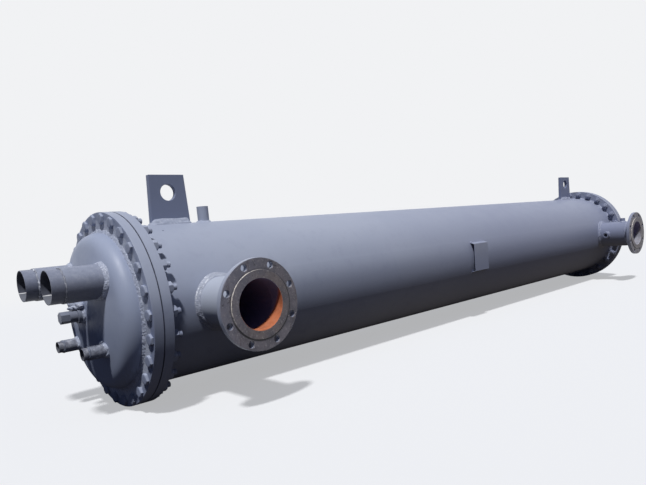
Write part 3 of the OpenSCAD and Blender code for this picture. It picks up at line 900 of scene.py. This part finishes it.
def head_height(radius):
    """Height of the outside of the head at a radius, and its slope angle."""
    on_crown = radius <= CROWN * math.sin(BLEND)
    crown = np.sqrt(CROWN**2 - np.minimum(radius, HEAD_R) ** 2) - CROWN_DROP
    reach = np.clip(radius - (HEAD_R - KNUCKLE), 0, KNUCKLE)
    height = HEAD_RIM + np.where(on_crown, crown, np.sqrt(KNUCKLE**2 - reach**2))
    sine = np.where(on_crown, radius / CROWN, reach / KNUCKLE)
    return height, np.arcsin(np.clip(sine, 0, 1))


def walked(radius):
    """Distance walked over the head from its middle to a radius."""
    _, slope = head_height(radius)
    return np.where(slope <= BLEND, CROWN * slope, CROWN_RUN + KNUCKLE * (slope - BLEND))


def dished_head(face_x, outward, holes):
    """A torispherical head with round holes: its outside and inside are the formula of head_profile on a net
    of triangles that keeps to the holes' circles, and walls join them round the holes and along the rim."""
    rim_count, spacing, clearance = 180, 11 * MM, 4 * MM
    loops, fill = [circle(rim_count) * HEAD_RUN], []
    for y, z, radius in holes:
        ring = np.array([y, z]) + radius * circle(max(28, int(radius / MM * 1.2)))
        out = np.linalg.norm(ring, axis=1)
        loops.append(ring / out[:, None] * walked(out)[:, None])
    for reach in np.concatenate([np.linspace(0.04, 0.8, 22), np.linspace(0.82, 0.985, 12)]) * HEAD_RUN:
        count = max(6, min(rim_count, int(2 * math.pi * reach / spacing)))
        turn = (np.arange(count) + 0.5) * 2 * math.pi / count
        fill.append(np.stack([np.cos(turn), np.sin(turn)], 1) * reach)
    fill = np.concatenate(fill)
    walk = np.linalg.norm(fill, axis=1, keepdims=True)
    seen = fill / walk * head_profile(walk)[0]
    clear = np.ones(len(fill), bool)
    for y, z, radius in holes:
        clear &= np.linalg.norm(seen - [y, z], axis=1) > radius + clearance
    edges, start = [], 0
    for loop in loops:
        number = np.arange(len(loop))
        edges.extend(np.stack([start + number, start + (number + 1) % len(loop)], 1).tolist())
        start += len(loop)
    points = np.concatenate([*loops, fill[clear]])
    net = delaunay_2d_cdt([Vector(point) for point in points], edges, [], 0, 1e-7)
    flat = np.array([list(point) for point in net[0]])
    faces = np.array([list(face) for face in net[2]])
    reach = np.linalg.norm(flat, axis=1)
    radius, height, slope = head_profile(reach)
    way = flat / np.maximum(reach, 1e-9)[:, None]
    flat = way * radius[:, None]
    # Triangles inside a hole's circle are left out
    keep = np.ones(len(faces), bool)
    for y, z, hole_r in holes:
        keep &= np.linalg.norm(flat[faces].mean(1) - [y, z], axis=1) > hole_r * 0.985
    faces = faces[keep]
    outside = np.column_stack([outward * height, flat])
    lean = np.column_stack([outward * np.cos(slope), way * np.sin(slope)[:, None]])
    points = np.concatenate([outside, outside - lean * HEAD_WALL]) + np.array([face_x, AXIS_Y, 0.0])
    count = len(outside)
    sides = np.sort(np.concatenate([faces[:, [0, 1]], faces[:, [1, 2]], faces[:, [2, 0]]]), axis=1)
    once, times = np.unique(sides, axis=0, return_counts=True)
    border = once[times == 1]
    walls = np.column_stack([border, border[:, ::-1] + count])
    return [(points, faces), (points, faces[:, ::-1] + count), (points, walls)]


# Hexagon heads, nuts and thread tails


def carried(levels, radius):
    """Rings of points at levels along X, one row of radii for each, as a part that is closed round X."""
    steps = radius.shape[1]
    levels = np.broadcast_to(np.asarray(levels)[:, None], radius.shape)
    points = np.stack([levels, radius * np.cos(turns(steps)), radius * np.sin(turns(steps))], 2)
    return points.reshape(-1, 3), grid_quads(len(levels), steps, False, True)


def hexagon(flats, height, cone):
    """A hexagon with a chamfered top: at each angle the radius is the smaller of the hexagon's and the
    cone's, which narrows over the last part of the height."""
    folded = (turns(24) + math.pi / 6) % (math.pi / 3) - math.pi / 6
    edge = flats / 2 / np.cos(folded)
    limits = np.array([1.2, 1.2, 1.07, 0.94, 0.6, 1e-6]) * flats / 2
    levels = [0.0, height - cone, height - cone * 0.5, height, height, height]
    return carried(levels, np.minimum(edge[None], limits[:, None]))


def thread_tail(shank, start, reach):
    """A thread's end: rings 2.5 mm apart in a zigzag, then a chamfer and a flat end."""
    pitch, depth = 2.5 * MM, 0.9 * MM
    ring = np.arange(int(reach / pitch * 2) + 1)
    levels = np.concatenate([start + ring * pitch / 2, [start + reach, start + reach]])
    radius = np.concatenate([shank / 2 - depth * (ring % 2), [shank / 2 - 1.6 * MM, 1e-6]])
    return carried(levels, np.tile(radius[:, None], 16))


def ring_of(part, x, direction, radius, count, seed):
    """Copies a part round the shell's axis, each turned by its own random angle about its own axis."""
    points, faces = part
    random = np.random.default_rng(seed)
    spin = random.uniform(0, math.pi / 3, count)[:, None]
    place = turns(count)[:, None]
    y = points[None, :, 1] * np.cos(spin) - points[None, :, 2] * np.sin(spin)
    z = points[None, :, 1] * np.sin(spin) + points[None, :, 2] * np.cos(spin)
    y = y + AXIS_Y + radius * np.cos(place)
    z = z + radius * np.sin(place)
    x = np.broadcast_to(x + direction * points[None, :, 0], y.shape)
    starts = np.arange(count)[:, None, None] * len(points)
    return np.stack([x, y, z], 2).reshape(-1, 3), (faces[None] + starts).reshape(-1, faces.shape[1])


# Operators


class EXCHANGER_OT_coats(bpy.types.Operator):
    """Give every CAD piece that stays as it is its own finish"""

    bl_idname = "exchanger.coats"
    bl_label = "Paint the plain pieces"

    def execute(self, context):
        paint = context.scene.exchanger_paint
        finishes = {node: coat(node) for node in GAS_PIPES + LIQUID_STUBS}
        finishes["tubes"] = coat("tubes")
        finishes["baffle_plates"] = coat("mill plate")
        finishes["shell"] = enamel_outside_coat_inside(
            paint, "enamel_outside_bare_plate_inside", (0, AXIS_Y, 0), 0, SHELL_R - 6 * MM, linear("#4A3B33")
        )
        for (side, x), primer, name, outside in zip(
            NOZZLES, (paint.primer, paint.far_coat), ("orange_primer", "pale_coat"),
            (("#B8BECA", 0.6), ("#7C829A", 0.5)),
        ):
            finishes[side + "_nozzle_pipe"] = enamel_outside_coat_inside(
                paint, f"enamel_outside_{name}_inside", (x, 0, 0), 1, PIPE_R - 3 * MM, tuple(primer), outside,
                slanted=True,
            )
        for node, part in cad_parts.items():
            part.data.materials.clear()
            part.data.materials.append(finishes.get(node, coat("body")))
        return {"FINISHED"}


class EXCHANGER_OT_eased_plates(bpy.types.Operator):
    """Round the edges of lugs, pipe ends, plates and fittings under their paint"""

    bl_idname = "exchanger.eased_plates"
    bl_label = "Ease the plates' edges"

    def execute(self, context):
        for side in ("near", "far"):
            eased_copy(side + "_lug", coat("lug"), context.scene.exchanger_bolts.ease)
        for side in ("near", "far"):
            eased_copy(side + "_tubesheet", coat(side + " seam"), 0.8 * MM)
        for node in (
            "plate_bracket", "vent_stub", "front_gas_tip", "back_gas_tip", "front_liquid_tip",
            "back_liquid_tip", "head_boss", "boss_plug", "far_nozzle_side_coupling",
            "far_nozzle_top_coupling",
        ):
            finish = node if "tip" in node else "plug" if "boss" in node else "body"
            eased_copy(node, coat(finish), 0.6 * MM)
        return {"FINISHED"}


class EXCHANGER_OT_heads(bpy.types.Operator):
    """Form the two dished heads, the near one with holes for its pipes"""

    bl_idname = "exchanger.heads"
    bl_label = "Dished heads"

    def execute(self, context):
        holes = []
        for node in (*GAS_PIPES, *LIQUID_STUBS, "head_boss"):
            _, y, z = middle(node)
            holes.append((y - AXIS_Y, z, half(node) + PASS_GAP))
        for (side, face, _, way), cut in zip(SIDES, (holes, [])):
            parts = dished_head(face, way, cut)
            make_piece(side + "_head", parts, coat("dish"), replaced=side + "_head_dish")
        return {"FINISHED"}


class EXCHANGER_OT_body_flanges(bpy.types.Operator):
    """Turn and drill the two head flanges and their gaskets"""

    bl_idname = "exchanger.body_flanges"
    bl_label = "Head flanges and gaskets"

    def execute(self, context):
        bolts = context.scene.exchanger_bolts
        bore = HEAD_R - HEAD_WALL
        for node, ease, finish, slot in (
            ("near_head_flange", bolts.ease, "near seam", "body_paint"),
            ("far_head_flange", bolts.ease, "far seam", "body_paint"),
            ("near_gasket", 0.2 * MM, "gasket", "gasket"),
            ("far_gasket", 0.2 * MM, "gasket", "gasket"),
        ):
            low, high = corners(node)
            deep, rim = high[0] - low[0], high[2]
            parts = drilled_ring(
                np.array([low[0], AXIS_Y, 0.0]), (1, 0, 0), (bore, rim, 0.0), (bore, rim, deep),
                [(bore, 0.0), (bore, deep)], ease, FLANGE_R - bolts.edge, bolts.count,
                first_hole=0.0, arc_steps=5,
            )
            make_piece(node + "_drilled", parts, coat(finish), replaced=node)
        return {"FINISHED"}


class EXCHANGER_OT_nozzle_flanges(bpy.types.Operator):
    """Turn the two weld neck flanges with raised face, drilled holes and tapered neck"""

    bl_idname = "exchanger.nozzle_flanges"
    bl_label = "Nozzle flanges"

    def execute(self, context):
        paint = context.scene.exchanger_paint
        # The core ends 2 mm outside the raised face and the neck, where the drilled sectors begin
        face, neck = RAISED_FACE_R + 2 * MM, NECK_R + 2 * MM
        outline = [
            (face + 6 * MM, RAISED_FACE), (RAISED_FACE_R, RAISED_FACE), (RAISED_FACE_R, 0.0),
            (NOZZLE_BORE_R, 0.0), (NOZZLE_BORE_R, NECK_END), (PIPE_R, NECK_END), (NECK_R, NOZZLE_FLANGE_BACK),
            (neck + 6 * MM, NOZZLE_FLANGE_BACK),
        ]
        core = eased(outline, 0.9 * MM)[2:-2]
        core = np.concatenate([[[face, RAISED_FACE]], core, [[neck, NOZZLE_FLANGE_BACK]]])
        for (side, x), primer in zip(NOZZLES, (paint.primer, paint.far_coat)):
            node = side + "_nozzle_flange"
            parts = drilled_ring(
                np.array([x, 0.0, 0.0]), (0, 1, 0), (face, NOZZLE_FLANGE_R, RAISED_FACE),
                (neck, NOZZLE_FLANGE_R, NOZZLE_FLANGE_BACK), core, 1.2 * MM, NOZZLE_BOLT_R,
                NOZZLE_BOLTS, first_hole=math.pi / NOZZLE_BOLTS, arc_steps=12,
            )
            steel = turned_flange_steel(paint, "turned_steel_" + node, (x, 0, 0), tuple(primer))
            make_piece(node + "_turned", parts, steel, replaced=node)
        return {"FINISHED"}


class EXCHANGER_OT_body_bolts(bpy.types.Operator):
    """Set the bolts of the body flanges: heads on the heads' side, nuts and thread tails on the shell's
    side"""

    bl_idname = "exchanger.body_bolts"
    bl_label = "Body bolts"

    def execute(self, context):
        bolts = context.scene.exchanger_bolts
        radius = FLANGE_R - bolts.edge
        head = hexagon(bolts.flats, bolts.head, 2.2 * MM)
        nut = hexagon(bolts.flats, bolts.nut, 2.2 * MM)
        tail = thread_tail(bolts.shank, bolts.nut - 1 * MM, bolts.tail)
        backs = corners("near_tubesheet")[1][0], corners("far_tubesheet")[0][0]
        for (side, face, _, way), back in zip(SIDES, backs):
            parts = [
                ring_of(head, face, way, radius, bolts.count, 11),
                ring_of(nut, back, -way, radius, bolts.count, 12),
                ring_of(tail, back, -way, radius, bolts.count, 13),
            ]
            make_piece(side + "_body_bolts", parts, coat("body"), sharp=35)
        return {"FINISHED"}


class EXCHANGER_OT_shell_welds(bpy.types.Operator):
    """Lay the welds on the shell: nozzles, tubesheets, lugs, vent, bracket and couplings"""

    bl_idname = "exchanger.shell_welds"
    bl_label = "Welds on the shell"

    def execute(self, context):
        welds = context.scene.exchanger_welds
        small = welds.small_leg
        for number, (side, x) in enumerate(NOZZLES):
            line = saddle((x, AXIS_Y, 0), (1, 0, 0), (0, -1, 0), PIPE_R, SHELL_R, 320)
            legs = welds.nozzle_leg * 0.8, welds.nozzle_leg * 0.9
            parts = bead(*line, legs, welds, welds.seed + 10 * number, 0.07, 1.7, ripple=0.045, rough=0.02)
            make_weld(side + "_nozzle_weld", parts, "weld" if number else "crested weld")
            neck = np.array([x, NECK_END, 0.0])
            ring = ring_bead(neck, (0, 1, 0), PIPE_R, 6 * MM, 1.6 * MM, welds, 40 + number)
            make_weld(side + "_neck_weld", ring)
        for number, (side, _, end, way) in enumerate(SIDES):
            legs = welds.body_leg, welds.body_leg * 0.9
            parts = bead(*hoop(end, SHELL_R, -way, 620), legs, welds, 70 + number, lumps=0.07)
            make_weld(side + "_tubesheet_weld", parts)
        vent = (middle("vent_stub")[0], AXIS_Y, 0)
        line = saddle(vent, (1, 0, 0), (0, 0, 1), half("vent_stub", 0), SHELL_R, 96)
        parts = bead(*line, (small * 0.7, small * 0.9), welds, 91, lumps=0.08, fullness=1.7, passes=1)
        make_weld("vent_weld", parts)
        for number, node in enumerate(("near_lug", "far_lug")):
            make_weld(node + "_weld", self.foot_weld(node, welds, 110 + number))
        for number, (node, up, across) in enumerate((
            ("far_nozzle_side_coupling", (-1, 0, 0), 2), ("far_nozzle_top_coupling", (0, 0, 1), 0),
        )):
            foot = (FAR_NOZZLE_X, middle(node)[1], 0)
            line = saddle(foot, (0, 1, 0), up, half(node, across), PIPE_R, 80)
            parts = bead(*line, (small * 0.7, small * 0.8), welds, 120 + number, lumps=0.12, passes=1)
            make_weld(node + "_weld", parts)
        make_weld("bracket_tacks", self.bracket_tacks())
        return {"FINISHED"}

    def bracket_tacks(self):
        """Short tack welds at the four ends of the bracket's feet, each a pressed ball on the shell."""
        low, high = corners("plate_bracket")
        parts = []
        for number, (x, z) in enumerate((
            (low[0] + 12 * MM, high[2]), (high[0] - 14 * MM, high[2]),
            (low[0] + 15 * MM, low[2]), (high[0] - 11 * MM, low[2]),
        )):
            y = AXIS_Y - math.sqrt(SHELL_R**2 - z**2)
            parts.extend(blob((x, y, z), (11 * MM, 4 * MM, 5 * MM), 60 + number))
        return parts

    def foot_weld(self, node, welds, seed):
        """A bead round a plate's foot: a rectangle with cut corners, dropped onto the drum."""
        # The path lies inside the plate's ends, so that the weld is narrow there
        half_x, half_y, corner = half(node, 0) - 9 * MM, half(node, 1), 3 * MM
        straight_x, straight_y = half_x - corner, half_y - corner
        edge = np.array([
            (straight_x, half_y), (-straight_x, half_y), (-half_x, straight_y), (-half_x, -straight_y),
            (-straight_x, -half_y), (straight_x, -half_y), (half_x, -straight_y), (half_x, straight_y),
        ])
        run = np.concatenate([[0], np.cumsum(np.linalg.norm(np.roll(edge, -1, 0) - edge, axis=1))])
        count = int(run[-1] / (2.0 * MM))
        at = np.arange(count) * run[-1] / count
        flat = np.stack([np.interp(at, run, np.append(side, side[0])) for side in edge.T], 1)
        step = np.roll(flat, -1, 0) - np.roll(flat, 1, 0)
        outward = unit(np.stack([step[:, 1], -step[:, 0]], 1))
        outward *= np.sign((outward * flat).sum(1))[:, None]
        x, y = (middle(node)[:2] + flat).T
        path = np.stack([x, y, np.sqrt(SHELL_R**2 - (y - AXIS_Y) ** 2)], 1)
        up = np.tile([0.0, 0.0, 1.0], (count, 1))
        away = np.column_stack([outward, np.zeros(count)])
        legs = welds.lug_leg * 1.4, welds.lug_leg
        return bead(path, up, away, legs, welds, seed, lumps=0.05, fullness=1.9, ripple=0.02)


class EXCHANGER_OT_head_welds(bpy.types.Operator):
    """Lay the welds on the heads: rims, gas pipes, liquid stubs, boss and pipe tips"""

    bl_idname = "exchanger.head_welds"
    bl_label = "Welds on the heads"

    def execute(self, context):
        welds = context.scene.exchanger_welds
        small = welds.small_leg
        for number, (side, face, _, way) in enumerate(SIDES):
            legs = welds.body_leg * 0.8, welds.body_leg * 1.5
            parts = bead(
                *hoop(face, HEAD_R, way, 840), legs, welds, 130 + number,
                lumps=0.06, fullness=1.9, passes=1, ripple=0.015, rough=0.06,
            )
            make_weld(side + "_head_weld", parts)
        # Lumps beside a pipe: the angle round it, then in millimetres the distance from its wall, the size
        # and the height off the head, and the seed
        heaps = {
            "front_liquid_stub": ((1.4, 4, (8, 9, 8), 0, 270),),
            # A heap of weld metal lies between the boss and the front gas pipe
            "head_boss": (
                (1.2, 14, (20, 27, 16), 8, 294), (1.8, 9, (15, 17, 13), 4, 289),
                (1.5, 2, (15, 16, 9), 14, 282), (0.8, 12, (13, 12, 11), 4, 292), (1.6, 2, (9, 9, 6), 32, 282),
            ),
        }
        for number, (node, leg, lumps) in enumerate((
            ("front_gas_pipe", welds.head_pipe_leg, 0.08), ("back_gas_pipe", welds.head_pipe_leg, 0.08),
            ("front_liquid_stub", small, 0.15), ("back_liquid_stub", small, 0.15), ("head_boss", small, 0.15),
        )):
            parts = self.pipe_weld(node, leg, lumps, welds, 150 + 7 * number)
            parts.extend(self.late_lumps(node, leg, 250 + number))
            for turn, out, size, off, seed in heaps.get(node, ()):
                parts.extend(self.lump(node, turn, out * MM, np.array(size) * MM, seed, off * MM))
            make_weld(node + "_weld", parts, "rough weld")
        for number, (pipe, half_width, height) in enumerate((
            ("front_gas_pipe", 3.0 * MM, 1.2 * MM), ("back_gas_pipe", 3.0 * MM, 1.2 * MM),
            ("front_liquid_stub", 3.5 * MM, 1.6 * MM), ("back_liquid_stub", 4.5 * MM, 1.6 * MM),
        )):
            end = np.array([corners(pipe)[0][0], *middle(pipe)[1:]])
            radius = half(pipe) - 0.6 * MM
            parts = ring_bead(end, (1, 0, 0), radius, half_width, height, welds, 200 + number, lumps=0.2)
            make_weld(pipe + "_tip_weld", parts, "tip weld" if pipe in GAS_PIPES else "plug")
        return {"FINISHED"}

    def late_lumps(self, node, leg, seed):
        """Lumps where the welder stopped and began again, on the upper side of a pipe's weld."""
        random = np.random.default_rng(seed)
        parts = []
        for number in range(3):
            turn = math.pi / 2 + random.uniform(-1.0, 1.0)
            out = leg * random.uniform(0.2, 0.4)
            size = leg * random.uniform(0.26, 0.38)
            parts.extend(self.lump(node, turn, out, (size * 0.7, size, size * 0.8), seed * 10 + number))
        return parts

    def lump(self, node, turn, out, size, seed, off=0.0):
        """One lump at an angle round a pipe, so far out from the pipe's wall and so far off the head."""
        reach = half(node) + out
        flat = middle(node)[1:] + reach * np.array([math.cos(turn), math.sin(turn)])
        height, _ = head_height(np.linalg.norm(flat - [AXIS_Y, 0.0]))
        return blob((NEAR_FACE - height - size[0] * 0.4 - off, *flat), size, seed)

    def pipe_weld(self, node, leg, lumps, welds, seed):
        """A bead where a pipe along X leaves the dished head: for each angle round the pipe, the head's
        height."""
        pipe_r = half(node)
        count = max(60, int(2 * math.pi * pipe_r / (2.0 * MM)))
        around = circle(count)
        place = middle(node)[1:] + pipe_r * around
        flat = place - [AXIS_Y, 0.0]
        reach = np.linalg.norm(flat, axis=1)
        height, slope = head_height(reach)
        path = np.column_stack([NEAR_FACE - height, place])
        normal = np.column_stack([-np.cos(slope), flat / reach[:, None] * np.sin(slope)[:, None]])
        outward = np.column_stack([np.zeros(count), around])
        outward = unit(outward - normal * (outward * normal).sum(1)[:, None])
        along = np.tile([-1.0, 0.0, 0.0], (count, 1))
        legs = leg * 1.1, leg * 0.6
        return bead(path, along, outward, legs, welds, seed, lumps, 1.6, ripple=0.05, rough=0.06)


# The line to the lamp, found from the lit crescent in the near nozzle's bore
TO_LAMP = Vector((-0.324, -0.309, 0.894))
FLOOR_MIDDLE_X = 1.5
# The camera's place, turn and lens, found from the flanges' circles and the shell's edges
CAMERA = Vector((-0.9684, -1.3787, 0.2084))
YAW, PITCH, ROLL = 0.75096, -0.10615, -0.08592
PHOTO_WIDTH, PHOTO_HEIGHT = 646, 485
FOCAL_PIXELS = 556.4
CENTRE_PIXEL = (337.54, 287.73)
SENSOR = 36


def seen_rays(tree):
    """1 for the camera's own rays, and for those that a shiny or clear surface sends on, and 0 for
    light's."""
    rays = put(tree, "LightPath").node.outputs
    seen = put(tree, "Math", (rays["Is Camera Ray"], rays["Is Glossy Ray"]), operation="MAXIMUM")
    return put(tree, "Math", (seen, rays["Is Transmission Ray"]), operation="MAXIMUM")


class EXCHANGER_OT_stage(bpy.types.Operator):
    """Set the pale floor, the lamps, the sky and the camera"""

    bl_idname = "exchanger.stage"
    bl_label = "Stage and camera"

    def execute(self, context):
        stage = context.scene.exchanger_stage
        self.floor(stage)
        self.key_lamp(stage)
        self.sky(stage)
        self.camera()
        context.scene.view_settings.view_transform = "Standard"
        return {"FINISHED"}

    def floor(self, stage):
        """A round floor: rings of points, close together in the middle."""
        rings = np.concatenate([[1e-6], np.geomspace(1.0, 60.0, 24)])
        centre = (FLOOR_MIDDLE_X, AXIS_Y, -FLANGE_R - 0.5 * MM)
        points, quads = turned(centre, (0, 0, 1), rings, 0 * rings, 72)
        mesh = bpy.data.meshes.new("floor")
        mesh.from_pydata(points.tolist(), [], quads.tolist())
        mesh.materials.append(self.floor_material(stage))
        floor = bpy.data.objects.new("floor", mesh)
        bpy.context.scene.collection.objects.link(floor)
        return floor

    def floor_material(self, stage):
        """Painted studio floor, even and matt. To the camera half of it is the plain ground colour and half
        the same colour under the lamps, so that the object's shadow stays but is pale. To the object it is
        darker, most of all under the near end."""
        material, tree = new_material("matt_painted_studio_floor")
        seen = seen_rays(tree)
        light = stage.key * TO_LAMP.z / math.pi + stage.sky
        lit = (*[min(part / light, 1.0) for part in stage.ground[:3]], 1.0)
        thrown = coated(tree, linear("#38363A"), ("#7C7262", (place_in(tree, "X"), -1.0, 2.8)))
        matt = put(tree, "BsdfDiffuse", {"Color": coated(tree, thrown, (lit, seen))})
        glow = put(tree, "Emission", {"Color": tuple(stage.ground), "Strength": 1.0})
        out = axis_distance(tree, (FLOOR_MIDDLE_X, AXIS_Y, 0), 2)
        mixed = put(tree, "MixShader", (mask(tree, seen, (out, 2.5, 7.0, 0.5, 1.0)), matt, glow))
        put(tree, "OutputMaterial", {"Surface": mixed})
        return material

    def key_lamp(self, stage):
        """A sun high above the near head."""
        data = bpy.data.lights.new("key", "SUN")
        data.energy = stage.key
        data.angle = stage.softness
        lamp = bpy.data.objects.new("key", data)
        turn = (-TO_LAMP).to_track_quat("-Z", "Y")
        lamp.matrix_world = Matrix.Translation(TO_LAMP * 6) @ turn.to_matrix().to_4x4()
        bpy.context.scene.collection.objects.link(lamp)
        return lamp

    def sky(self, stage):
        """Even bluish light on the object, and the ground's colour where the sky is seen."""
        world = bpy.data.worlds.new("sky")
        world.use_nodes = True
        tree = world.node_tree
        tree.nodes.clear()
        seen = seen_rays(tree)
        tint = coated(tree, tuple(stage.air), (tuple(stage.ground), seen))
        light = put(tree, "Background", (tint, mask(tree, (seen, 0.0, 1.0, stage.sky, 1.0))))
        put(tree, "OutputWorld", {"Surface": light})
        bpy.context.scene.world = world

    def camera(self):
        """The photograph's camera: its axes from yaw, pitch and roll, and its lens from the pixels."""
        ahead = Vector((math.sin(YAW) * math.cos(PITCH), math.cos(YAW) * math.cos(PITCH), math.sin(PITCH)))
        level = Vector((math.cos(YAW), -math.sin(YAW), 0))
        upward = level.cross(ahead)
        right = math.cos(ROLL) * level + math.sin(ROLL) * upward
        top = -math.sin(ROLL) * level + math.cos(ROLL) * upward
        data = bpy.data.cameras.new("camera")
        data.sensor_width = SENSOR
        data.lens = FOCAL_PIXELS / PHOTO_WIDTH * SENSOR
        data.shift_x = (PHOTO_WIDTH / 2 - CENTRE_PIXEL[0]) / PHOTO_WIDTH
        data.shift_y = (CENTRE_PIXEL[1] - PHOTO_HEIGHT / 2) / PHOTO_WIDTH
        data.clip_end = 200
        camera = bpy.data.objects.new("camera", data)
        turn = Matrix((right, top, -ahead)).transposed().to_4x4()
        camera.matrix_world = Matrix.Translation(CAMERA) @ turn
        bpy.context.scene.collection.objects.link(camera)
        bpy.context.scene.camera = camera


OPERATORS = (
    EXCHANGER_OT_coats,
    EXCHANGER_OT_eased_plates,
    EXCHANGER_OT_heads,
    EXCHANGER_OT_body_flanges,
    EXCHANGER_OT_nozzle_flanges,
    EXCHANGER_OT_body_bolts,
    EXCHANGER_OT_shell_welds,
    EXCHANGER_OT_head_welds,
    EXCHANGER_OT_stage,
)
SETTINGS = {
    "exchanger_paint": ExchangerPaint,
    "exchanger_welds": ExchangerWelds,
    "exchanger_bolts": ExchangerBolts,
    "exchanger_stage": ExchangerStage,
}


class EXCHANGER_PT_panel(bpy.types.Panel):
    """Settings and steps of the heat exchanger"""

    bl_label = "Heat exchanger"
    bl_space_type = "VIEW_3D"
    bl_region_type = "UI"
    bl_category = "Exchanger"

    def draw(self, context):
        for name, group in SETTINGS.items():
            box = self.layout.box()
            for key in group.__annotations__:
                box.prop(getattr(context.scene, name), key)
        for operator in OPERATORS:
            self.layout.operator(operator.bl_idname)


def register():
    for item in (*SETTINGS.values(), *OPERATORS, EXCHANGER_PT_panel):
        bpy.utils.register_class(item)
    for name, group in SETTINGS.items():
        setattr(bpy.types.Scene, name, PointerProperty(type=group))


def unregister():
    for name in SETTINGS:
        delattr(bpy.types.Scene, name)
    for item in reversed((*SETTINGS.values(), *OPERATORS, EXCHANGER_PT_panel)):
        bpy.utils.unregister_class(item)


def main():
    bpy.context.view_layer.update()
    register()
    for operator in OPERATORS:
        group, name = operator.bl_idname.split(".")
        getattr(getattr(bpy.ops, group), name)()


if __name__ == "__main__":
    main()
